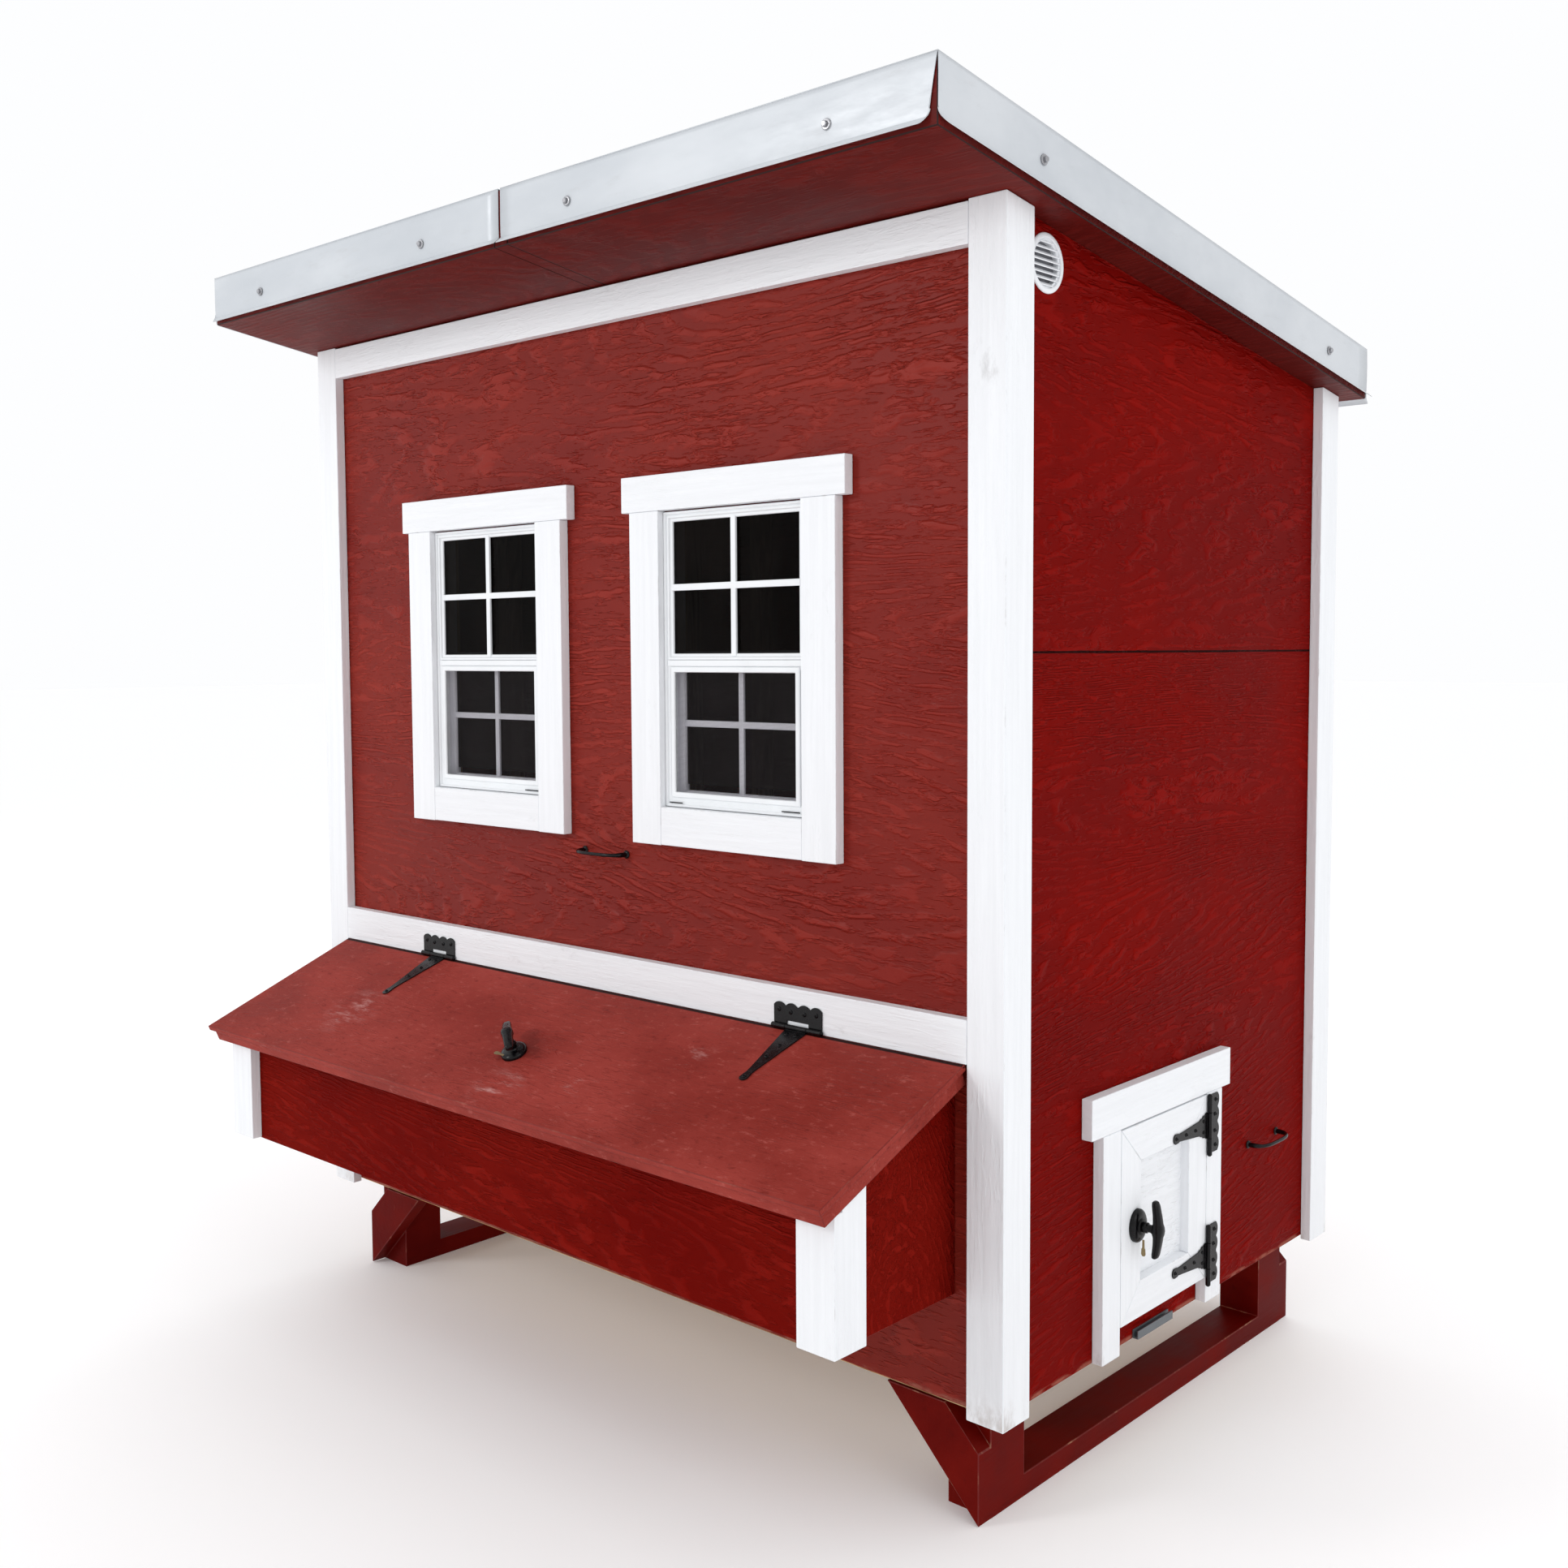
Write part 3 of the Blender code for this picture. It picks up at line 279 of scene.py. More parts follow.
def lid_red():
    """Faded, chalky red on the lid, with scuffs, a darker round patch and a painted shadow line along the
    hinge.
    """
    finish = Finish("lid_red_paint", specular=0.1)
    cloud = finish.noise(5.5, (0.8, 1, 1), 6.0, 0.62)
    colour = finish.mix(finish.span(cloud, 0.33, 0.7), srgb(132, 42, 34), srgb(155, 60, 52))
    fleck = finish.noise(95, (0.5, 1, 1), 4.0, 0.7)
    colour = finish.mix(finish.span(fleck, 0.56, 0.74, 0.0, 0.6), colour, srgb(178, 92, 84))
    colour = finish.mix(finish.span(fleck, 0.26, 0.45, 0.6, 0.0), colour, srgb(104, 26, 20))
    # A darker oval patch drawn from three overlapping discs.
    dark_blotch = 0.0
    for place in ((-0.7, -5.75), (0.2, -6.52), (1.1, -7.3)):
        dark_blotch = finish.calc("MAXIMUM", finish.near(LID @ Vector((*place, -0.18)), 0.55, 0.75), dark_blotch)
    colour = finish.mix(finish.calc("MULTIPLY", dark_blotch, 0.42), colour, srgb(104, 32, 26))
    # Painted shadow: a near-black line along the hinge, where the lid meets the hinge board.
    gap = finish.near_line(LID @ Vector((0.0, -0.02, -0.18)), 0.1, 0.2)
    colour = finish.mix(gap, colour, srgb(30, 6, 4))
    streaks = finish.noise(30, (0.35, 1.2, 1.2), 5.0, 0.75, (0, 0, 0.5))
    chalk = 0.0
    scuffs = (((2.0, -11.0), 2.6), ((7.7, -9.3), 1.5), ((-18.7, -7.6), 3.4), ((13.0, -4.4), 2.0))
    for place, size in scuffs:
        patch = finish.near(LID @ Vector((*place, -0.18)), 0.2, size)
        chalk = finish.calc("MAXIMUM", patch, chalk)
    chalk = finish.calc("MULTIPLY", chalk, finish.span(streaks, 0.47, 0.72, 0.0, 0.75))
    colour = finish.mix(chalk, colour, srgb(205, 160, 155))
    normal = finish.bump(embossed_grain(finish, "X", 260.0, 0.5), 0.0011)
    normal = finish.bump(finish.noise(240, detail=3.0), 0.0002, normal)
    return finish.done(colour, normal, finish.span(cloud, 0.3, 0.7, 0.56, 0.72))


def trim_white(name, letter, grey=0.4, tone=(0.86, 0.875, 0.9), relief=0.0004):
    """White paint over a rough-sawn board whose grain runs along one axis."""
    finish = Finish(name, specular=0.4)
    streak = finish.noise(110, stretch_along(letter, 0.04, 1.0), 4.0, 0.62)
    cloud = finish.noise(6, stretch_along(letter, 0.4, 1.0), 5.0, 0.62)
    shade = tuple(0.95 * c for c in tone)
    colour = finish.mix(finish.span(streak, 0.3, 0.75), shade, tone)
    smudge = finish.noise(21, stretch_along(letter, 0.45, 1.0), 5.0, 0.72)
    dirt = finish.calc("MULTIPLY", finish.span(smudge, 0.6, 0.8), finish.span(cloud, 0.45, 0.68))
    colour = finish.mix(finish.calc("MULTIPLY", dirt, grey), colour, srgb(150, 146, 144))
    foot = finish.span(finish.axis("Z"), (0.0 - GROUND) * INCH, (2.2 - GROUND) * INCH, 1.0, 0.0)
    splash = finish.calc("MULTIPLY", foot, finish.span(smudge, 0.5, 0.7, 0.0, 0.6))
    colour = finish.mix(splash, colour, srgb(176, 166, 160))
    normal = finish.bump(streak, 0.00075)
    normal = finish.bump(embossed_grain(finish, letter, 200.0, 0.5), relief, normal)
    return finish.done(colour, normal, finish.span(cloud, 0.3, 0.7, 0.42, 0.58))


def worn_edge(name, paint, under, letter="X", amount=0.4):
    """An arris where the paint has rubbed through in places. On the soffit's arris it is used for a
    near-black painted shadow line instead.
    """
    finish = Finish(name, roughness=0.6, specular=0.3)
    rub = finish.noise(34, stretch_along(letter, 0.5, 1.0), 5.0, 0.72)
    colour = finish.mix(finish.span(rub, 0.5, 0.74, 0.0, amount), paint, under)
    return finish.done(colour, finish.bump(rub, 0.0004))


def sawn_wood(name, letter, early, late, specular=0.25):
    """Bare softwood: rings drawn out along one axis, with fine pores."""
    finish = Finish(name, specular=specular)
    warp = finish.noise(5, stretch_along(letter, 0.16, 1.0), 3.0)
    rings = finish.calc("SINE", finish.calc("MULTIPLY", warp, 130.0))
    pores = finish.noise(190, stretch_along(letter, 0.03, 1.0), 4.0, 0.65)
    colour = finish.mix(finish.span(rings, -0.4, 1.0), early, late)
    colour = finish.mix(finish.span(pores, 0.52, 0.75, 0.0, 0.5), colour, tuple(0.55 * c for c in late))
    grey = finish.noise(3.5, detail=4.0)
    colour = finish.mix(finish.span(grey, 0.5, 0.75, 0.0, 0.4), colour, srgb(150, 136, 120))
    normal = finish.bump(rings, 0.0003, finish.bump(pores, 0.0004))
    return finish.done(colour, normal, finish.span(pores, 0.3, 0.7, 0.66, 0.85))


def base_red():
    """Brushed dark red on rough lumber, rubbed pale on a few spots."""
    finish = Finish("base_red_paint", specular=0.04)
    brush = finish.noise(60, (1.0, 0.12, 1.0), 4.0, 0.65)
    cloud = finish.noise(7, detail=5.0)
    colour = finish.mix(finish.span(cloud, 0.32, 0.7), srgb(88, 5, 2), srgb(108, 15, 8))
    colour = finish.mix(finish.span(brush, 0.55, 0.8, 0.0, 0.5), colour, srgb(72, 6, 4))
    spots = finish.noise(42, detail=5.0, roughness=0.75)
    colour = finish.mix(finish.span(spots, 0.66, 0.78, 0.0, 0.4), colour, srgb(150, 96, 78))
    return finish.done(colour, finish.bump(brush, 0.0007), finish.span(cloud, 0.3, 0.7, 0.42, 0.6))


def roof_metal():
    """Pale painted steel with faint oil-canning, smudges and fine scratches."""
    finish = Finish("roof_pale_steel", metallic=0.05, specular=0.4)
    cloud = finish.noise(2.6, (0.6, 1, 1.6), 5.0, 0.6)
    colour = finish.mix(finish.span(cloud, 0.3, 0.7), (0.5, 0.53, 0.565), (0.61, 0.635, 0.665))
    dust = finish.noise(30, (0.3, 0.3, 1.4), 6.0, 0.72)
    colour = finish.mix(finish.span(dust, 0.55, 0.78, 0.0, 0.35), colour, (0.45, 0.45, 0.46))
    rubbed = finish.noise(150, (1.0, 1.0, 0.2), 4.0, 0.7)
    colour = finish.mix(finish.span(rubbed, 0.62, 0.8, 0.0, 0.25), colour, (0.74, 0.755, 0.775))
    normal = finish.bump(finish.noise(3.4, (1, 0.7, 1.4), 2.0, 0.4), 0.004)
    normal = finish.bump(dust, 0.00008, normal)
    return finish.done(colour, normal, finish.span(dust, 0.3, 0.7, 0.3, 0.46))


def vinyl(name, tone):
    finish = Finish(name, specular=0.45)
    cloud = finish.noise(14, detail=4.0)
    colour = finish.mix(finish.span(cloud, 0.35, 0.7), tone, tuple(0.95 * c for c in tone))
    dust = finish.noise(120, detail=4.0, roughness=0.7)
    colour = finish.mix(finish.span(dust, 0.62, 0.8, 0.0, 0.2), colour, srgb(176, 172, 168))
    return finish.done(colour, finish.bump(dust, 0.00012), finish.span(cloud, 0.3, 0.7, 0.33, 0.45))


def black_steel():
    """Black powder coat with an orange-peel surface and a few rubbed grey spots."""
    finish = Finish("black_powder_coat", specular=0.22)
    peel = finish.noise(900, detail=2.0)
    cloud = finish.noise(70, detail=5.0, roughness=0.7)
    colour = finish.mix(finish.span(cloud, 0.4, 0.7), srgb(5, 4, 6), srgb(13, 11, 13))
    colour = finish.mix(finish.span(cloud, 0.7, 0.8, 0.0, 0.5), colour, srgb(70, 62, 58))
    return finish.done(colour, finish.bump(peel, 0.0001), finish.span(cloud, 0.3, 0.7, 0.16, 0.3))


def zinc(name, tone, metallic=0.9, scale=120):
    """Galvanised steel with a faint spangle."""
    finish = Finish(name, metallic=metallic, specular=0.5)
    spangle = finish.add("ShaderNodeTexVoronoi")
    finish.feed(spangle.inputs["Vector"], finish.object)
    spangle.inputs["Scale"].default_value = scale
    flake = finish.span(spangle.outputs["Color"], 0.0, 1.0)
    dark_blotch = finish.noise(50, detail=5.0, roughness=0.7)
    colour = finish.mix(flake, tuple(0.82 * c for c in tone), tone)
    colour = finish.mix(finish.span(dark_blotch, 0.55, 0.75, 0.0, 0.5), colour, tuple(0.5 * c for c in tone))
    return finish.done(colour, finish.bump(dark_blotch, 0.0001), finish.span(flake, 0.0, 1.0, 0.3, 0.5))


def window_glass():
    finish = Finish("window_glass", specular=0.05)
    finish.set("IOR", 1.45)
    glass_film_and_inside_shade = finish.noise(9, (1, 1, 0.5), 5.0, 0.65)
    # Painted shade: the glass is a mostly opaque near-black sheet with faint brownish patches, standing for
    # the dark inside of the coop; the same noise gives the glass its waviness and varying gloss.
    finish.set("Alpha", finish.span(glass_film_and_inside_shade, 0.3, 0.75, 0.62, 0.78))
    colour = finish.mix(finish.span(glass_film_and_inside_shade, 0.35, 0.7), (0.0015, 0.001, 0.0008), (0.005, 0.0035, 0.003))
    return finish.done(colour, finish.bump(glass_film_and_inside_shade, 0.0006), finish.span(glass_film_and_inside_shade, 0.3, 0.7, 0.03, 0.1))


def insect_screen():
    """Fine grey mesh: crossed threads 1.5 mm apart, clear between them."""
    finish = Finish("insect_screen_mesh", roughness=0.7, specular=0.2)
    threads = 0.0
    for letter in "XZ":
        wave = finish.calc("SINE", finish.calc("MULTIPLY", finish.axis(letter), 2 * math.pi / 0.0015))
        threads = finish.calc("MAXIMUM", finish.span(wave, 0.78, 0.94), threads)
    finish.set("Alpha", threads)
    tint = finish.noise(12, detail=3.0)
    return finish.done(finish.mix(tint, srgb(24, 20, 21), srgb(40, 34, 36)))


def painted_slot_shade():
    """Painted shade: a near-black sheet for the inside of a slot, with a little dust."""
    finish = Finish("painted_slot_shade", roughness=0.8, specular=0.1)
    dust = finish.noise(160, detail=4.0)
    return finish.done(finish.mix(dust, srgb(9, 8, 8), srgb(30, 26, 25)), finish.bump(dust, 0.0002))


WORN_RED = srgb(150, 84, 70)
SEAM_LEVEL = (SHEET_SEAM - GROUND) * INCH
SOFFIT_SEAM = 1.3 * INCH

LOOKS = {
    "front_red": siding_red("front_siding_red", "X", srgb(122, 25, 16), srgb(136, 38, 27)),
    "side_red": siding_red(
        "side_siding_red", "Y", srgb(112, 4, 1), srgb(126, 9, 3), ("Z", SEAM_LEVEL), 0.5, 0.02
    ),
    # Painted shade: the nest box's siding is given a darker red than the front wall's, for the shade under
    # the lid.
    "nest_red": siding_red("nest_siding_red", "X", srgb(104, 8, 4), srgb(122, 20, 12), None, 0.55, 0.01),
    # Painted shade: the soffit is given a darker red than the walls, for the shade under the roof.
    "soffit_red": siding_red(
        "soffit_red", "X", srgb(88, 14, 10), srgb(104, 22, 16), ("X", SOFFIT_SEAM), 0.5, 0.12, 0.001
    ),
    # Painted shadow: the soffit's arris is near black, for the shadow line under the fascia's hem.
    "soffit_edge": worn_edge("soffit_edge_painted_shadow", srgb(34, 5, 3), srgb(60, 12, 8), "X", 0.4),
    "lid_red": lid_red(),
    "red_edge": worn_edge("red_worn_edge", srgb(120, 28, 20), srgb(176, 104, 84), "X", 0.45),
    "base_red": base_red(),
    "base_edge": worn_edge("base_worn_edge", srgb(104, 10, 6), srgb(168, 120, 92), "Z", 0.85),
    "trim_x": trim_white("trim_white_level", "X"),
    "trim_y": trim_white("trim_white_side_level", "Y"),
    "trim_z": trim_white("trim_white_upright", "Z"),
    "trim_edge": worn_edge("trim_worn_edge", (0.84, 0.86, 0.89), srgb(178, 172, 168), "Z", 0.5),
    "panel_white": trim_white("door_panel_white", "Y", 0.3, (0.85, 0.865, 0.89), 0.0014),
    "roof_metal": roof_metal(),
    "vinyl": vinyl("window_vinyl", (0.84, 0.86, 0.88)),
    "sash_vinyl": vinyl("sash_vinyl", (0.74, 0.73, 0.79)),
    "vent_vinyl": vinyl("vent_vinyl", (0.82, 0.84, 0.87)),
    "vent_grey": vinyl("vent_screen_grey", (0.2, 0.2, 0.22)),
    "glass": window_glass(),
    "screen": insect_screen(),
    "black": black_steel(),
    "zinc": zinc("zinc_screw", (0.42, 0.42, 0.44)),
    "bracket": zinc("bracket_zinc", srgb(104, 110, 114), 0.4, 60),
    "brass": zinc("key_brass", srgb(150, 132, 96), 0.8, 300),
    "lumber_x": sawn_wood("lumber_level", "X", srgb(206, 172, 126), srgb(168, 122, 78)),
    "lumber_z": sawn_wood("lumber_upright", "Z", srgb(204, 168, 122), srgb(164, 118, 74)),
    "gap_black": painted_slot_shade(),
}

# White boards that run along x, along y and upright, each with its worn arris
LEVEL = ("trim_x", "trim_edge")
SIDE_LEVEL = ("trim_y", "trim_edge")
UPRIGHT = ("trim_z", "trim_edge")


# Shapes: each returns a bmesh in inches


def box(x, y, z):
    solid = bmesh.new()
    bmesh.ops.create_cube(solid, size=1.0)
    spans = (x, y, z)
    for vert in solid.verts:
        vert.co = Vector([low + (c + 0.5) * (high - low) for c, (low, high) in zip(vert.co, spans)])
    return solid


def joined(*solids):
    first = solids[0]
    for other in solids[1:]:
        mesh = bpy.data.meshes.new("joining")
        other.to_mesh(mesh)
        first.from_mesh(mesh)
        bpy.data.meshes.remove(mesh)
        other.free()
    return first


def moved(solid, matrix):
    bmesh.ops.transform(solid, matrix=matrix, verts=solid.verts)
    return solid


def outline_plate(outline, low, high):
    """A flat outline of (x, y) points raised from z low to z high."""
    solid = bmesh.new()
    face = solid.faces.new([solid.verts.new((u, v, low)) for u, v in outline])
    raised = bmesh.ops.extrude_face_region(solid, geom=[face])["geom"]
    for vert in (item for item in raised if isinstance(item, bmesh.types.BMVert)):
        vert.co.z = high
    bmesh.ops.recalc_face_normals(solid, faces=solid.faces)
    return solid


def turned(profile, steps=40, closed=False):
    """A (radius, height) profile spun round z."""
    solid = bmesh.new()
    verts = [solid.verts.new((radius, 0, z)) for radius, z in profile]
    pairs = list(zip(verts, verts[1:])) + ([(verts[-1], verts[0])] if closed else [])
    edges = [solid.edges.new(pair) for pair in pairs]
    bmesh.ops.spin(
        solid,
        geom=verts + edges,
        cent=(0, 0, 0),
        axis=(0, 0, 1),
        angle=math.tau,
        steps=steps,
        use_merge=True,
    )
    bmesh.ops.remove_doubles(solid, verts=solid.verts, dist=1e-4)
    bmesh.ops.recalc_face_normals(solid, faces=solid.faces)
    return solid


def loft(rings):
    """Skins equal rings of points in order and closes both ends."""
    solid = bmesh.new()
    loops = [[solid.verts.new(point) for point in ring] for ring in rings]
    count = len(loops[0])
    for one, two in zip(loops, loops[1:]):
        for i in range(count):
            solid.faces.new((one[i], one[(i + 1) % count], two[(i + 1) % count], two[i]))
    solid.faces.new(loops[0])
    solid.faces.new(loops[-1])
    bmesh.ops.recalc_face_normals(solid, faces=solid.faces)
    return solid


def arc(centre, radius, start, end, steps):
    angles = [math.radians(start + (end - start) * i / steps) for i in range(steps + 1)]
    return [(centre[0] + radius * math.cos(a), centre[1] + radius * math.sin(a)) for a in angles]


def tube(points, radii, sides=14):
    """A round rod along points, its radius given at each one."""
    rings = []
    for i, point in enumerate(points):
        ahead = Vector(points[min(i + 1, len(points) - 1)])
        behind = Vector(points[max(i - 1, 0)])
        turn = (ahead - behind).to_track_quat("Z", "Y").to_matrix()
        ring = [(radii[i] * math.cos(a), radii[i] * math.sin(a), 0) for a in sides_of(sides)]
        rings.append([Vector(point) + turn @ Vector(place) for place in ring])
    return loft(rings)


def sides_of(count):
    return [math.tau * i / count for i in range(count)]


def picture_frame(across, up, profile):
    """A mitred frame round a rectangle. profile lists (inset, depth) points round the moulding's
    section. It is built with x across, z up and depth along y."""
    corners = ((0, 0, 1, 1), (1, 0, -1, 1), (1, 1, -1, -1), (0, 1, 1, -1))
    solid = bmesh.new()
    loops = []
    for i, j, inward_x, inward_z in corners:
        loop = []
        for inset, depth in profile:
            place = (across[i] + inward_x * inset, depth, up[j] + inward_z * inset)
            loop.append(solid.verts.new(place))
        loops.append(loop)
    count = len(profile)
    for one, two in zip(loops, loops[1:] + loops[:1]):
        for k in range(count):
            solid.faces.new((one[k], one[(k + 1) % count], two[(k + 1) % count], two[k]))
    bmesh.ops.recalc_face_normals(solid, faces=solid.faces)
    return solid


def screw_head(radius, rise, slotted=True):
    """A domed head with a cross recess suggested by two crossed grooves."""
    profile = [(radius, 0), (radius, 0.25 * rise)]
    profile += [(radius * math.cos(a), rise * (0.25 + 0.75 * math.sin(a))) for a in (0.45, 0.9, 1.25)]
    profile.append((0.0, rise))
    head = turned(profile, 18)
    if slotted:
        bar = 0.16 * radius
        for turn in (0.6, 0.6 + math.pi / 2):
            groove = box((-0.62 * radius, 0.62 * radius), (-bar, bar), (0.9 * rise, 1.03 * rise))
            joined(head, moved(groove, Matrix.Rotation(turn, 4, "Z")))
    return head


def piece(name, solid, looks, body="root", stands_for=(), slot=None, place=None, bevel=0.0, segments=2):
    """Makes an object from a bmesh in inches, lays it in the CAD frame and lets it ride on a body."""
    matrix = TO_METRES @ (place or Matrix.Identity(4))
    bmesh.ops.transform(solid, matrix=matrix, verts=solid.verts)
    if matrix.determinant() < 0:
        bmesh.ops.reverse_faces(solid, faces=solid.faces)
    mesh = bpy.data.meshes.new(name)
    solid.to_mesh(mesh)
    solid.free()
    made = bpy.data.objects.new(name, mesh)
    bpy.context.scene.collection.objects.link(made)
    for look in [looks] if isinstance(looks, str) else looks:
        mesh.materials.append(LOOKS[look])
    mesh.shade_smooth()
    mesh.set_sharp_from_angle(angle=math.radians(35))
    if bevel:
        soften(made, bevel, segments, len(mesh.materials) > 1)
    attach(made, body)
    if stands_for:
        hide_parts(*stands_for)
    return made


def soften(target, inches, segments=2, edge_look=True):
    """Rounds the arrises; the new faces take the second material: worn paint, and on the soffit a painted
    shadow line.
    """
    weld = target.modifiers.new("weld", "WELD")
    weld.merge_threshold = 0.00002
    bevel = target.modifiers.new("arris", "BEVEL")
    bevel.width = inches * INCH
    bevel.segments = segments
    bevel.limit_method = "ANGLE"
    bevel.angle_limit = math.radians(40)
    bevel.use_clamp_overlap = False
    if edge_look:
        bevel.material = 1
    normals = target.modifiers.new("normals", "WEIGHTED_NORMAL")
    normals.weight = 100


def carried(node, look, edge=None, bevel=0.035):
    """A CAD node that keeps its shape: better materials and rounded arrises."""
    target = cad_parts[node]
    target.data.materials.clear()
    target.data.materials.append(LOOKS[look])
    if edge:
        target.data.materials.append(LOOKS[edge])
    if bevel:
        soften(target, bevel, 2, edge is not None)


# House: the sheets, boards and framing that keep their CAD shape


def house():
    for node in ("siding_front", "siding_back"):
        carried(node, "front_red", "red_edge", 0.03)
    for node in ("siding_left", "siding_right"):
        carried(node, "side_red", "red_edge", 0.03)
    carried("nest_box", "nest_red", "red_edge", 0.03)
    for side in ("left", "right"):
        # The soffit's rounded arris takes the near-black painted shadow line.
        carried(f"roof_panel_{side}", "soffit_red", "soffit_edge", 0.06)
        carried(f"skid_frame_{side}", "base_red", "base_edge", 0.06)
        carried(f"side_wall_frame_{side}", "lumber_z", None, 0.04)
        carried(f"nest_corner_{side}", *UPRIGHT, 0.05)
        for end in ("front", "back"):
            carried(f"corner_post_{end}_{side}", *UPRIGHT, 0.06)
    for node in ("front_top_board", "hinge_board"):
        carried(node, *LEVEL, 0.05)
    carried("lid_sheet", "lid_red", "red_edge", 0.05)
    carried("lid_frame", "lid_red", "red_edge", 0.05)
    for node in ("front_wall_frame", "back_wall_frame"):
        carried(node, "lumber_z", None, 0.04)
    for node in ("floor_frame", "floor_deck", "roost_bars"):
        carried(node, "lumber_x", None, 0.05)
    carried("ramp_bracket", "bracket", None, 0.02)


# Roof metal


def roof_top(y):
    return ROOF_UNDER + ROOF_RISE - ROOF_SLOPE * y


def fascia(tops, drop, outward, slant=0.0, radius=0.01):
    """A sheet hung from the roof edge along tops, its hem kicked outward. The far end is cut back
    by slant at the foot, and its lower corner is rounded."""
    solid = bmesh.new()
    levels = (0.0, 0.1, 0.35, 0.65, 0.85, 0.95, 1.0)
    along = (tops[-1] - tops[0]).normalized()
    grid = []
    for top in tops:
        left = (tops[-1] - top).length
        past = max(0.0, 1 - left / radius)
        short = radius * (1 - math.sqrt(1 - past * past))
        pull = slant * max(0.0, 1 - left / 3)
        column = []
        for level in levels:
            wave = 0.03 * (1 + noise.noise((top.x * 0.09, top.y * 0.09, level * 1.3)))
            out = outward * wave * math.sin(math.pi * level)
            down = Vector((0, 0, (short - drop) * level))
            column.append(solid.verts.new(top + out + down - along * pull * level))
        hem = outward * KICK_OUT + Vector((0, 0, -KICK_DROP))
        column.append(solid.verts.new(column[-1].co + hem * (1 - past)))
        grid.append(column)
    for one, two in zip(grid, grid[1:]):
        for k in range(len(one) - 1):
            solid.faces.new((one[k], two[k], two[k + 1], one[k + 1]))
    return solid


def spaced(start, end, count):
    """Points from start to end that crowd together towards the end."""
    start, end = Vector(start), Vector(end)
    return [start.lerp(end, 1 - (1 - i / (count - 1)) ** 2) for i in range(count)]


def roof_skin(side):
    sign = 1 if side == "right" else -1
    near_corner = side == "right"
    inner = (PAN_SEAM if near_corner else -PAN_SEAM) + 0.11
    gap = 0.05 if near_corner else 0.0
    front, back, outer = ROOF_FRONT, ROOF_BACK, ROOF_SIDE

    def edge(x, y):
        return Vector((sign * x, y, roof_top(y)))

    top = bmesh.new()
    rows = [
        [edge(x, y) for x in (inner, inner + 8, inner + 16, inner + 24, outer)]
        for y in (front, 0.0, 10.0, 20.0, 30.0, back)
    ]
    verts = [[top.verts.new(place) for place in row] for row in rows]
    for one, two in zip(verts, verts[1:]):
        for k in range(len(one) - 1):
            top.faces.new((one[k], one[k + 1], two[k + 1], two[k]))

    front_tops = spaced(edge(inner, front), edge(outer - gap, front), 60)
    side_tops = spaced(edge(outer, back), edge(outer, front + gap), 60)
    back_tops = spaced(edge(inner, back), edge(outer, back), 24)
    slant, radius = (0.45, 0.4) if near_corner else (0.0, 0.3)
    sheets = [
        top,
        fascia(front_tops, FASCIA_DROP, Vector((0, -1, 0)), slant, radius),
        fascia(side_tops, FASCIA_DROP, Vector((sign, 0, 0)), 0.0, radius),
        fascia(back_tops, FASCIA_DROP + 0.4, Vector((0, 1, 0))),
    ]
    pan = joined(*sheets)
    bmesh.ops.remove_doubles(pan, verts=pan.verts, dist=0.004)
    bmesh.ops.recalc_face_normals(pan, faces=pan.faces)
    if sum(face.normal.z * face.calc_area() for face in pan.faces) < 0:
        bmesh.ops.reverse_faces(pan, faces=pan.faces)
    made = piece(f"roof_pan_{side}", pan, "roof_metal", "root", [f"roof_skin_{side}"], "roof_metal")
    sheet = made.modifiers.new("sheet", "SOLIDIFY")
    sheet.thickness = PAN_METAL * INCH
    sheet.offset = -1
    return made


def hex_screw():
    washer = turned([(0.0, 0.0), (0.27, 0.0), (0.3, 0.03), (0.27, 0.08), (0.2, 0.09), (0.0, 0.06)], 24)
    head = turned([(0.17, 0.05), (0.17, 0.2), (0.13, 0.24), (0.0, 0.24)], 6)
    return joined(washer, head)


def roof_screws():
    heads = []
    for x in (-27.7, -7.6, 7.1, 27.4):
        place = Matrix.Translation((x, ROOF_FRONT - 0.06, roof_top(ROOF_FRONT) - 2.0))
        heads.append(moved(hex_screw(), place @ Matrix.Rotation(math.radians(90), 4, "X")))
    for sign, places in ((-1, (1.2, 18.7, 36.3)), (1, (1.2, 36.3))):
        turn = Matrix.Rotation(sign * math.radians(90), 4, "Y")
        for y in places:
            place = Matrix.Translation((sign * (ROOF_SIDE + 0.06), y, roof_top(y) - 1.9))
            heads.append(moved(hex_screw(), place @ turn))
    for x in (-24.0, -8.0, 8.0, 24.0):
        place = Matrix.Translation((x, ROOF_BACK + 0.06, roof_top(ROOF_BACK) - 1.9))
        heads.append(moved(hex_screw(), place @ Matrix.Rotation(math.radians(-90), 4, "X")))
    piece("roof_screws", joined(*heads), "zinc", slot="roof_metal")


# Windows


def nail_dots(places):
    """Set nails: shallow painted discs on a face that looks along -y."""
    dots = []
    for x, y, z in places:
        disc = turned([(0.0, 0.004), (0.055, 0.004), (0.07, 0.0)], 12)
        dots.append(moved(disc, Matrix.Translation((x, y, z)) @ Matrix.Rotation(math.radians(90), 4, "X")))
    return joined(*dots)


WEEP_SLOTS = {"left": ((4.5, 5.7), (4.1, 5.6)), "right": ((-5.7, -4.5), (4.1, 5.6))}
UPPER_STOP = [(0.06, 0.62), (0.1, 0.52), (0.24, 0.52), (0.27, 0.66)]
UPPER_STOP += [(0.44, 0.66), (0.48, 0.72), (0.48, 0.82), (0.06, 0.82)]


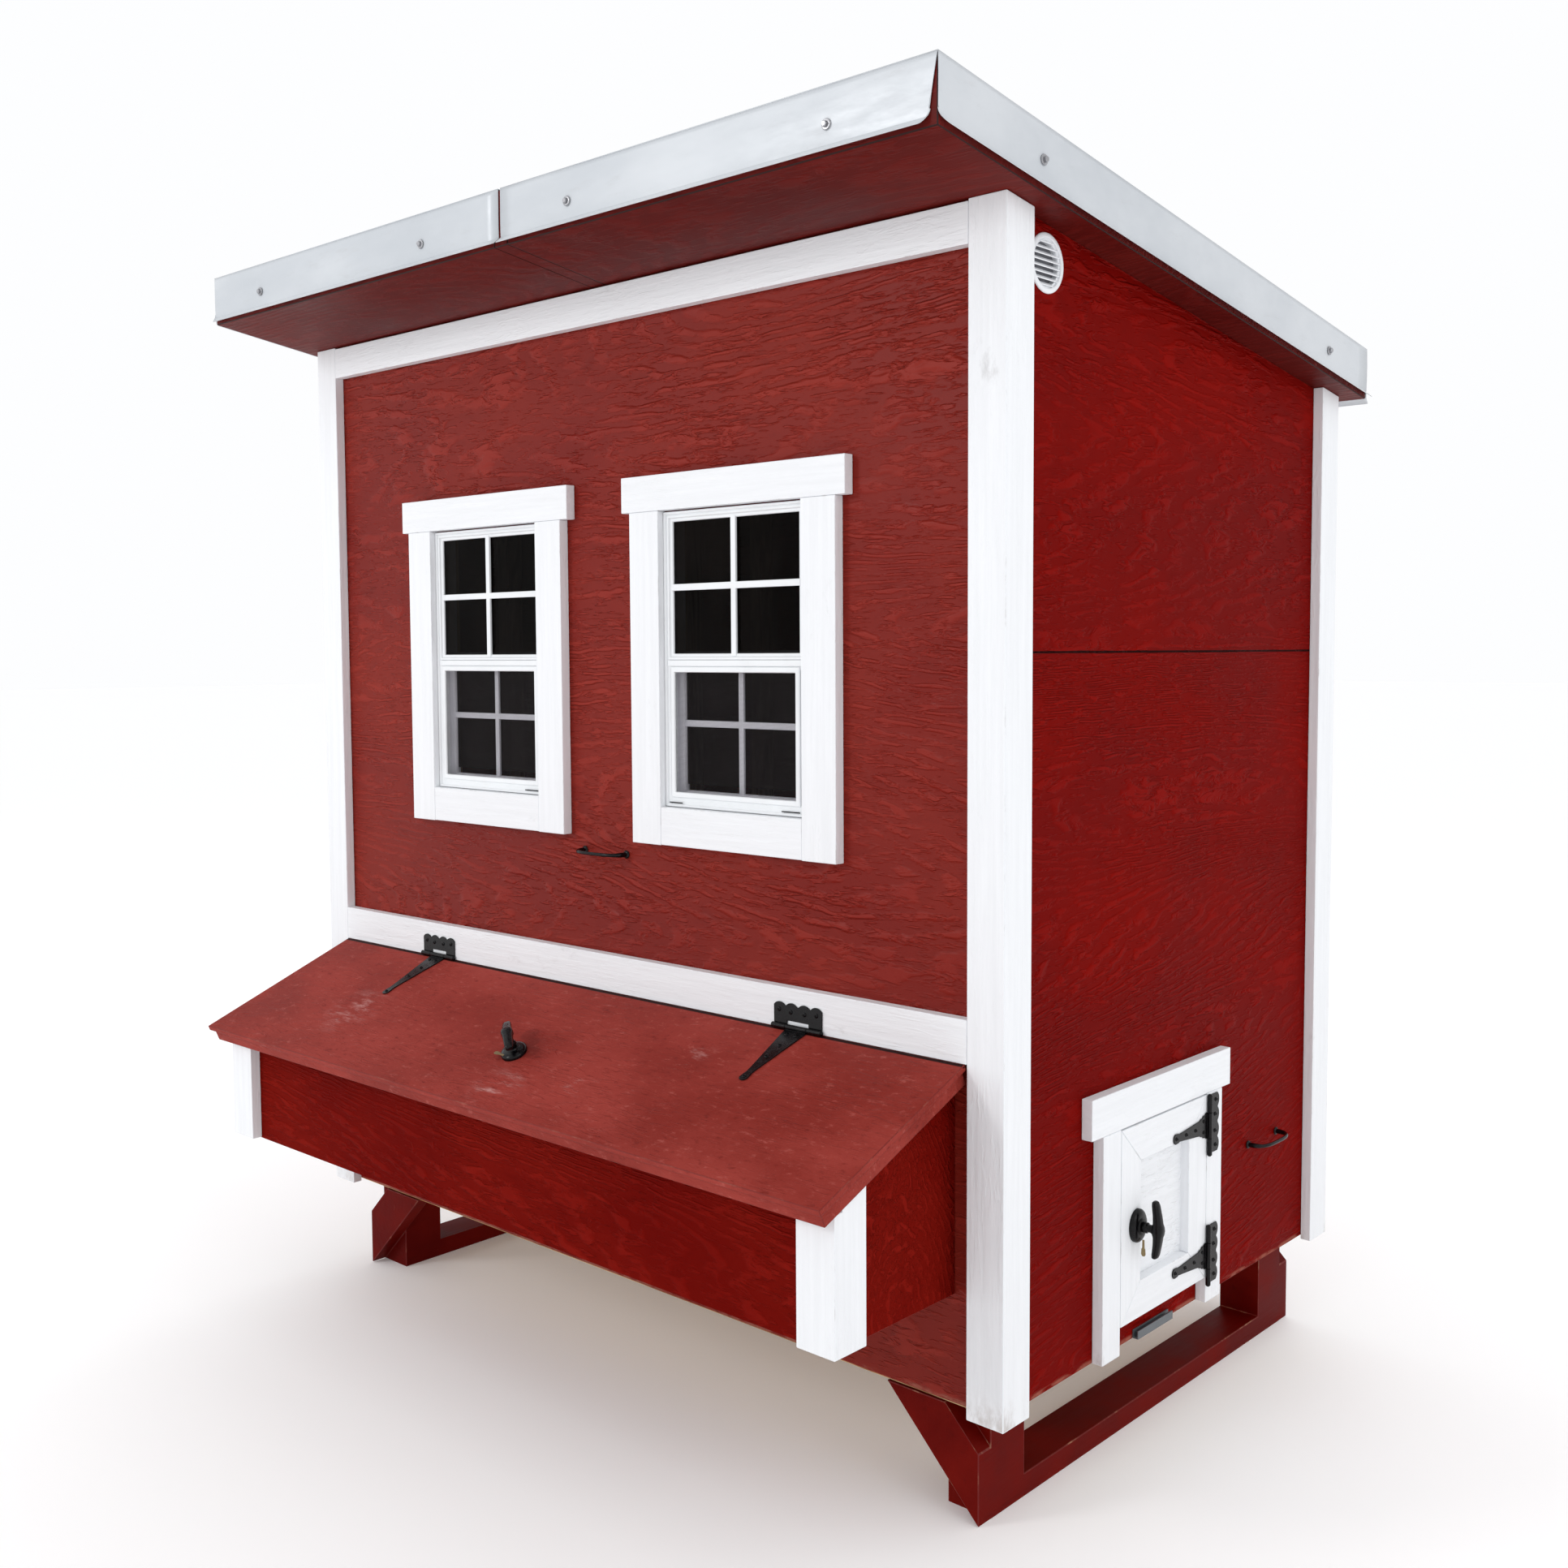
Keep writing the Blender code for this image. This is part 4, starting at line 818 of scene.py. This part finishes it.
def window(side):
    middle = WINDOW_X if side == "right" else -WINDOW_X
    slot = {"slot": "white_trim"}

    def around(half):
        return (middle - half, middle + half)

    jamb = WINDOW_HALF + JAMB_TRIM
    seam = 0.01
    head = box(around(HEAD_HALF), BOARD, WINDOW_HEAD)
    trim = [f"window_trim_{side}"]
    piece(f"window_head_board_{side}", head, LEVEL, "root", trim, bevel=0.05, **slot)
    for end, sign in (("left", -1), ("right", 1)):
        x = tuple(sorted((middle + sign * WINDOW_HALF, middle + sign * jamb)))
        board = box(x, BOARD, (WINDOW_SILL_FOOT, WINDOW_HEAD[0] - seam))
        piece(f"window_{side}_jamb_board_{end}", board, UPRIGHT, bevel=0.05, **slot)
    sill = box(around(WINDOW_HALF - seam), (0.012, BOARD[1]), (WINDOW_SILL_FOOT + 0.03, WINDOW_Z[0]))
    piece(f"window_sill_board_{side}", sill, LEVEL, bevel=0.05, **slot)

    outer = (around(WINDOW_HALF - 0.04), (WINDOW_Z[0] + 0.04, WINDOW_Z[1] - 0.04))
    lip = [(0, 0.45), (0.13, 0.45), (0.17, 0.5), (0.17, 0.58), (0.42, 0.58), (0.42, 2.0), (0, 2.0)]
    case = picture_frame(*outer, lip)
    upper = picture_frame(around(5.9), (42.3, 51.66), UPPER_STOP)
    rail = box(around(5.84), (0.5, 0.8), (41.98, 42.36))
    ledge = box(around(5.84), (0.6, 1.15), (41.75, 42.02))
    foot = box(around(5.68), (0.6, 0.82), (33.1, 33.62))
    solid = joined(case, upper, rail, ledge, foot)
    parts = {"slot": "white_vinyl", "bevel": 0.035}
    piece(f"window_case_{side}", solid, "vinyl", "root", [f"window_frame_{side}"], **parts)

    bars = joined(
        box(around(5.55), (0.6, 0.78), (47.0 - MUNTIN, 47.0 + MUNTIN)),
        box(around(MUNTIN), (0.595, 0.78), (42.6, 51.3)),
    )
    piece(f"upper_muntins_{side}", bars, "vinyl", **parts)

    bead = [(0, 0.52), (0.08, 0.47), (0.3, 0.47), (0.36, 0.53), (0.36, 0.66), (0, 0.66)]
    screen = picture_frame(around(5.56), (33.54, 41.94), bead)
    piece(f"screen_frame_{side}", screen, "vinyl", **parts)
    mesh = bmesh.new()
    places = [(u, 0.6, z) for u, z in zip((-5.2, 5.2, 5.2, -5.2), (33.9, 33.9, 41.58, 41.58))]
    mesh.faces.new([mesh.verts.new((middle + u, y, z)) for u, y, z in places])
    piece(f"insect_screen_{side}", mesh, "screen", slot="white_vinyl")

    # Thin near-black boxes at the weep slots: painted shade for the openings.
    slots = []
    for low, high in WEEP_SLOTS[side]:
        slots.append(box((middle + low, middle + high), (0.444, 0.46), (33.17, 33.24)))
    piece(f"weep_slots_{side}", joined(*slots), "gap_black", slot="black_hardware")

    body = f"window_sash_{side}"
    stile = [(0, 1.25), (0.06, 1.2), (0.62, 1.2), (0.72, 1.32), (0.72, 1.5), (0.66, 1.7), (0, 1.7)]
    ring = picture_frame(around(5.74), (33.25, 42.95), stile)
    cross = joined(
        box(around(5.1), (1.24, 1.42), (38.3 - MUNTIN, 38.3 + MUNTIN)),
        box(around(MUNTIN), (1.235, 1.42), (33.9, 42.3)),
    )
    solid = joined(ring, cross)
    piece(f"sliding_sash_{side}", solid, "sash_vinyl", body, [f"sash_{side}"], **parts)
    for node in (f"fixed_pane_{side}", f"sash_pane_{side}"):
        carried(node, "glass", None, 0)
    piece(
        f"window_nails_{side}",
        nail_dots([(middle + s * 7.4, 0.0, z) for s in (-1, 1) for z in (31.6, 41.0, 50.6)]),
        "trim_x",
        **slot,
    )


# Doors


def mitred_boards(across, up, width, depth, seam=0.018):
    """Four boards round a door, cut at 45 degrees, with a fine open line at each corner."""
    (x0, x1), (z0, z1) = across, up
    half = seam / 2
    sides = []
    for axis in ("level", "upright"):
        for low in (True, False):
            if axis == "level":
                z = z0 if low else z1
                inner = z0 + width if low else z1 - width
                points = [(x0 + half, z), (x1 - half, z)]
                points += [(x1 - width - half, inner), (x0 + width + half, inner)]
            else:
                x = x0 if low else x1
                inner = x0 + width if low else x1 - width
                points = [(x, z0 + half), (x, z1 - half)]
                points += [(inner, z1 - width - half), (inner, z0 + width + half)]
            sides.append((axis, points))
    made = {"level": [], "upright": []}
    for axis, points in sides:
        rings = [[Vector((x, y, z)) for x, z in points] for y in depth]
        made[axis].append(loft(rings))
    return {axis: joined(*solids) for axis, solids in made.items()}


def door(name, across, up, width, place, level):
    """A mitred frame over an embossed panel; depth is y, growing into the house."""
    boards = mitred_boards(across, up, width, BOARD)
    looks = {"level": level, "upright": UPRIGHT}
    for axis, solid in boards.items():
        piece(f"{name}_{axis}_boards", solid, looks[axis], name, slot="white_door", place=place, bevel=0.045)
    sheets = []
    for inset, depth in ((width - 0.35, DOOR_PANEL), (0.03, (BOARD[1], DOOR_PANEL[1]))):
        spans = [(low + inset, high - inset) for low, high in (across, up)]
        sheets.append(box(spans[0], depth, spans[1]))
    look = ("panel_white", "trim_edge")
    piece(f"{name}_panel", joined(*sheets), look, name, [name], "white_door", place, 0.03)


def pop_door():
    """Built in a frame whose x runs back along the wall and whose y runs into the house."""
    place = Matrix(((0, -1, 0, HALF_WIDTH), (1, 0, 0, 0), (0, 0, 1, 0), (0, 0, 0, 1)))
    door("pop_door", POP_Y, POP_Z, 2.3, place, SIDE_LEVEL)
    low, high = 12.3, 23.0
    head = box((low - 3.3, high + 3.1), BOARD, (14.2, 16.65))
    common = {"slot": "white_trim", "place": place, "bevel": 0.05}
    piece("pop_door_head_board", head, SIDE_LEVEL, "root", ["pop_door_trim"], **common)
    for name, x in (("front", (low - 2.0, low)), ("back", (high, high + 2.0))):
        board = box(x, BOARD, (SIDING_FOOT, 14.19))
        piece(f"pop_door_jamb_board_{name}", board, UPRIGHT, **common)


def access_door():
    """The same door at full size, on the back wall."""
    place = Matrix(((-1, 0, 0, 0), (0, -1, 0, DEPTH), (0, 0, 1, 0), (0, 0, 0, 1)))
    door("access_door", ACCESS_X, ACCESS_Z, 2.5, place, LEVEL)
    low, high = -11.05, 11.05
    common = {"slot": "white_trim", "place": place, "bevel": 0.05}
    head = box((low - 2.5, high + 2.5), BOARD, (48.07, 50.5))
    piece("access_door_head_board", head, LEVEL, "root", ["access_door_trim"], **common)
    sill = box((low - 2.5, high + 2.5), BOARD, (5.5, 7.93))
    piece("access_door_sill_board", sill, LEVEL, **common)
    for name, x in (("left", (low - 2.5, low)), ("right", (high, high + 2.5))):
        board = box(x, BOARD, (7.94, 48.06))
        piece(f"access_door_jamb_board_{name}", board, UPRIGHT, **common)
    for node in ("access_door_leaf", "access_jamb_leaf"):
        carried(node, "black", None, 0.02)


# Strap hinges: x runs along the pin, +y over the fixed leaf, z out of the face


HINGE_STEEL = (-0.155, -0.09)
PLAIN_STRAP = ((0.84, -0.12), (0.84, -0.28), (0.27, -4.1), (0.24, -4.55), (0.28, -4.75))
STEPPED_STRAP = (
    (0.86, -0.12),
    (0.86, -0.32),
    (0.74, -0.44),
    (0.74, -0.66),
    (0.6, -0.8),
    (0.6, -0.98),
    (0.5, -1.12),
    (0.25, -3.75),
    (0.31, -3.9),
)


def hinge_strap(name, node, place, body, half):
    """half lists the (half width, place) points of one side, from the barrel to the tip's neck."""
    low, high = HINGE_STEEL
    wide, neck = half[-1]
    tip = arc((0, neck - 0.25), wide + 0.04, -20, -160, 12)
    outline = [*half, *tip] + [(-x, y) for x, y in reversed(half)]
    strap = outline_plate(outline, low, high)
    profile = [(0.098, -0.83), (0.165, -0.83), (0.165, 0.83), (0.098, 0.83)]
    barrel = moved(turned(profile, 28, True), Matrix.Rotation(math.radians(90), 4, "Y"))
    wrap = box((-0.8, 0.8), (-0.2, -0.03), (-0.16, -0.07))
    heads = []
    for x, y in ((-0.36, -0.6), (0.36, -0.6), (0.0, -1.7), (0.0, -2.9), (0.0, neck - 0.25)):
        heads.append(moved(screw_head(0.13, 0.07), Matrix.Translation((x, y, high))))
    solid = joined(strap, barrel, wrap, *heads)
    piece(name, solid, "black", body, [node], "black_hardware", place, 0.02)


def hinge_leaf(name, node, place, body="root"):
    low, high = HINGE_STEEL
    notch, rise, half, top, bump = 0.86, 0.36, 1.925, 1.45, 0.62
    outline = [(-half, 0.0), (-notch, 0.0), (-notch, rise), (notch, rise), (notch, 0.0), (half, 0.0)]
    bumps = ((half - 0.46, 40, 136), (0.51, 44, 136), (-0.51, 44, 136), (0.46 - half, 44, 140))
    for x, start, stop in bumps:
        outline += arc((x, top - bump), bump, start, stop, 9)
    leaf = outline_plate(outline, low, high)
    solids = [leaf]
    end = 1.985
    turn = Matrix.Rotation(math.radians(90), 4, "Y")
    for lo, hi in ((-end, -notch), (notch, end)):
        profile = [(0.0, lo), (0.14, lo), (0.165, lo + 0.03), (0.165, hi - 0.03), (0.14, hi), (0.0, hi)]
        solids.append(moved(turned(profile, 28), turn))
    pin = [(0.0, -2.06), (0.1, -2.04), (0.12, -1.99), (0.087, -1.98)]
    pin += [(radius, -along) for radius, along in reversed(pin)]
    solids.append(moved(turned(pin, 20), turn))
    for x, y in ((-1.5, 0.98), (-0.55, 0.9), (0.55, 0.9), (1.5, 0.98)):
        solids.append(moved(screw_head(0.14, 0.075), Matrix.Translation((x, y, high))))
    piece(name, joined(*solids), "black", body, [node], "black_hardware", place, 0.02)


def hinges():
    wall = Matrix.Translation(LID_PIN) @ Matrix.Rotation(math.radians(90), 4, "X")
    for side, x in (("left", -LID_HINGE_X), ("right", LID_HINGE_X)):
        shift = Matrix.Translation((x, 0, 0))
        hinge_strap(f"lid_hinge_strap_{side}", f"lid_strap_{side}", LID @ shift, "nest_lid", PLAIN_STRAP)
        hinge_leaf(f"lid_hinge_leaf_{side}", f"lid_leaf_{side}", wall @ shift)
    upright = Matrix(((0, 0, 1, 0), (0, 1, 0, 0), (-1, 0, 0, 0), (0, 0, 0, 1)))
    for level, z in POP_HINGE_Z.items():
        place = Matrix.Translation(POP_PIN + Vector((0, 0, z))) @ upright
        hinge_strap(f"pop_hinge_strap_{level}", f"pop_door_strap_{level}", place, "pop_door", STEPPED_STRAP)
        hinge_leaf(f"pop_hinge_leaf_{level}", f"pop_door_leaf_{level}", place)


# Tee handles: z runs out of the face, the bar lies along y


def tee_bar(length):
    """The bar: a round hub from which two arms taper out and bend back towards the door."""
    half = length / 2
    stations = ((0.0, 0.4, 0.36), (0.12, 0.37, 0.34), (0.24, 0.32, 0.28), (0.5, 0.3, 0.25))
    stations += ((0.85, 0.28, 0.22), (0.96, 0.24, 0.17), (1.0, 0.14, 0.08))
    places = [(-t, w, h) for t, w, h in reversed(stations[1:])] + list(stations)
    rings = []
    for t, wide, high in places:
        ring = []
        for a in sides_of(20):
            c, s = math.cos(a), math.sin(a)
            x = math.copysign(abs(c) ** 0.7, c) * wide
            z = math.copysign(abs(s) ** 0.7, s) * high
            ring.append(Vector((x, t * half, z - 0.22 * t * t)))
        rings.append(ring)
    return loft(rings)


def tee_handle(name, place, door_body, cam_depth, reach, key_way):
    rose = [(1.04, GAP), (1.04, 0.16), (1.0, 0.24), (0.88, 0.33), (0.7, 0.38), (0.54, 0.4), (0.52, 0.42)]
    rose += [(0.5, 0.5), (0.42, 0.52), (0.22, 0.52), (0.215, 0.3)]
    oval = moved(turned(rose, 48), Matrix.Diagonal((0.84, 1.0, 1.0, 1.0)))
    piece(f"{name}_rose", oval, "black", door_body, slot="black_hardware", place=place)
    neck = [(0.0, -cam_depth - 0.06), (0.2, -cam_depth - 0.06), (0.2, 0.5), (0.3, 0.52), (0.33, 0.6)]
    neck += [(0.33, 0.78), (0.25, 0.84), (0.24, 1.05), (0.29, 1.12), (0.29, 1.3), (0.2, 1.5), (0.0, 1.6)]
    bar = moved(tee_bar(3.56), Matrix.Translation((0, 0, 1.5)))
    cam = box((-0.35, 0.35), (-0.35, reach), (-cam_depth - 0.12, -cam_depth))
    solid = joined(turned(neck, 28), bar, cam)
    piece(f"{name}_bar", solid, "black", name, [name], "black_hardware", place, 0.015)
    key = [(-0.07, 0.0), (0.07, 0.0), (0.08, -0.5), (0.13, -0.58), (0.15, -0.9), (0.08, -1.02)]
    key += [(-0.08, -1.02), (-0.15, -0.9), (-0.13, -0.58), (-0.08, -0.5)]
    blade = moved(outline_plate(key, -0.02, 0.02), key_way)
    piece(f"{name}_key", blade, "brass", door_body, slot="bracket_steel", place=place, bevel=0.008)


def tee_handles():
    turn = Matrix.Rotation(LID_HANDLE_TURN - math.pi / 2, 4, "Z")
    place = LID @ Matrix.Translation(LID_HANDLE) @ turn
    flat = Matrix.Translation((0.62, 0.5, 0.32)) @ Matrix.Rotation(0.6, 4, "Z")
    tee_handle("lid_handle", place, "nest_lid", 2.505, 2.2, flat)
    wall = Matrix(((0, 0, 1, 0), (1, 0, 0, 0), (0, 1, 0, 0), (0, 0, 0, 1)))
    hanging = Matrix.Translation((0, -0.8, 0.5)) @ Matrix.Rotation(math.radians(90), 4, "Y")
    depth = 1.185
    place = Matrix.Translation(POP_HANDLE) @ wall
    tee_handle("pop_door_handle", place, "pop_door", depth, 2.4, hanging)
    back = Matrix(((-1, 0, 0, 0), (0, 0, 1, 0), (0, 1, 0, 0), (0, 0, 0, 1)))
    place = Matrix.Translation(ACCESS_HANDLE) @ back
    tee_handle("access_door_handle", place, "access_door", depth, 2.4, hanging)


# Keepers, vents and small fittings


def keeper(name, place):
    """A black bow: x along it, z out of the wall."""
    points, radii = [], []
    for i in range(33):
        angle = math.pi * i / 32
        c, s = math.cos(angle), math.sin(angle)
        along = math.copysign(abs(c) ** 0.6, c) * 2.1
        points.append((along, 0, 0.045 + abs(s) ** 0.6 * 1.2))
        radii.append(0.12 + 0.05 * max(0.0, abs(c) - 0.8) / 0.2)
    rod = tube(points, radii)
    feet = []
    for sign in (-1, 1):
        foot = turned([(0.0, 0.0), (0.26, 0.0), (0.28, 0.05), (0.24, 0.1), (0.17, 0.14), (0.0, 0.16)], 24)
        feet.append(moved(foot, Matrix.Translation((sign * 2.1, 0, 0.014))))
    piece(name + "_bow", joined(rod, *feet), "black", "root", [name], "black_hardware", place)


def keepers():
    front = Matrix(((1, 0, 0, 0), (0, 0, -1, TRIM), (0, 1, 0, 29.4), (0, 0, 0, 1)))
    keeper("lid_keeper", front)
    side = Matrix(((0, 0, 1, WALL), (1, 0, 0, 32.35), (0, 1, 0, 9.0), (0, 0, 0, 1)))
    keeper("pop_door_keeper", side)


def vent(side):
    """A round louvre: rim, tilted slats and a screen behind them. z runs out of the wall."""
    sign = 1 if side == "right" else -1
    y, z = VENT
    place = Matrix(((0, 0, sign, sign * (WALL + GAP)), (sign, 0, 0, y), (0, 1, 0, z), (0, 0, 0, 1)))
    rim = [(1.64, 0.0), (1.64, 0.05), (1.6, 0.1), (1.5, 0.13), (1.4, 0.13), (1.36, 0.11), (1.33, 0.02)]
    rim += [(1.3, -0.3), (1.3, -0.37), (1.18, -0.37), (1.2, -0.1), (1.22, 0.0)]
    solids = [turned(rim, 56, True)]
    for i in range(8):
        level = -1.15 + 2.3 * i / 7
        half = math.sqrt(1.32**2 - level**2)
        slat = box((-half, half), (-0.035, 0.035), (-0.2, 0.1))
        turn = Matrix.Translation((0, level, 0.0)) @ Matrix.Rotation(math.radians(38), 4, "X")
        solids.append(moved(slat, turn))
    louvre = joined(*solids)
    node = [f"vent_{side}"]
    piece(f"vent_louvre_{side}", louvre, "vent_vinyl", "root", node, "white_vinyl", place, 0.012)
    backing = turned([(0.0, -0.3), (1.2, -0.3), (1.2, -0.32), (0.0, -0.32)], 32)
    piece(f"vent_screen_{side}", backing, "vent_grey", slot="white_vinyl", place=place)


# Studio


def add_light(name, place, aim, size, watts):
    data = bpy.data.lights.new(name, "AREA")
    data.size = size
    data.energy = watts
    light = bpy.data.objects.new(name, data)
    bpy.context.scene.collection.objects.link(light)
    light.location = place
    light.rotation_mode = "QUATERNION"
    light.rotation_quaternion = (Vector(aim) - Vector(place)).to_track_quat("-Z", "Y")


def studio():
    world = bpy.data.worlds.new("studio")
    bpy.context.scene.world = world
    world.use_nodes = True
    tree = world.node_tree
    seen = tree.nodes.new("ShaderNodeLightPath").outputs["Is Camera Ray"]
    level = tree.nodes.new("ShaderNodeMapRange")
    level.inputs["To Min"].default_value = AMBIENT
    level.inputs["To Max"].default_value = 1.0
    backdrop = tree.nodes["Background"]
    backdrop.inputs["Color"].default_value = (0.985, 0.99, 1.0, 1.0)
    tree.links.new(seen, level.inputs["Value"])
    tree.links.new(level.outputs[0], backdrop.inputs["Strength"])
    floor = bmesh.new()
    bmesh.ops.create_grid(floor, x_segments=4, y_segments=4, size=60.0)
    mesh = bpy.data.meshes.new("studio_floor")
    floor.to_mesh(mesh)
    floor.free()
    made = bpy.data.objects.new("studio_floor", mesh)
    bpy.context.scene.collection.objects.link(made)
    finish = Finish("studio_floor", roughness=0.9, specular=0.1)
    finish.set("Emission Color", (1.0, 1.0, 1.0, 1.0))
    finish.set("Emission Strength", FLOOR_GLOW)
    tone = finish.mix(finish.noise(2.0), (0.97, 0.97, 0.97), (0.98, 0.98, 0.98))
    mesh.materials.append(finish.done(tone))
    aim = (0.0, 0.1, 0.9)
    add_light("key", (-2.6, -5.4, 3.3), aim, 1.2, 72)
    add_light("fill", (5.4, -0.6, 3.0), aim, 3.0, 34)
    add_light("back", (-1.0, 4.8, 3.6), aim, 3.0, 40)


def camera():
    """Eye level from beyond the near corner, looking back to the left."""
    yaw, pitch, roll = math.radians(42.358), math.radians(3.711), math.radians(-0.312)
    ahead = Vector((-math.sin(yaw) * math.cos(pitch), math.cos(yaw) * math.cos(pitch), -math.sin(pitch)))
    right = Vector((math.cos(yaw), math.sin(yaw), 0))
    up = right.cross(ahead)
    right, up = (
        math.cos(roll) * right + math.sin(roll) * up,
        -math.sin(roll) * right + math.cos(roll) * up,
    )
    data = bpy.data.cameras.new("view")
    data.sensor_width = 36
    data.lens = 37.1
    data.shift_x = -0.0003
    data.shift_y = -0.0174
    view = bpy.data.objects.new("view", data)
    bpy.context.scene.collection.objects.link(view)
    turn = Matrix((right, up, -ahead)).transposed().to_4x4()
    view.matrix_world = Matrix.Translation((2.08808, -2.20823, 1.25606)) @ turn
    bpy.context.scene.camera = view


house()
for end in ("left", "right"):
    roof_skin(end)
    window(end)
    vent(end)
roof_screws()
pop_door()
access_door()
hinges()
tee_handles()
keepers()
studio()
camera()
bpy.context.scene.view_settings.view_transform = "Standard"
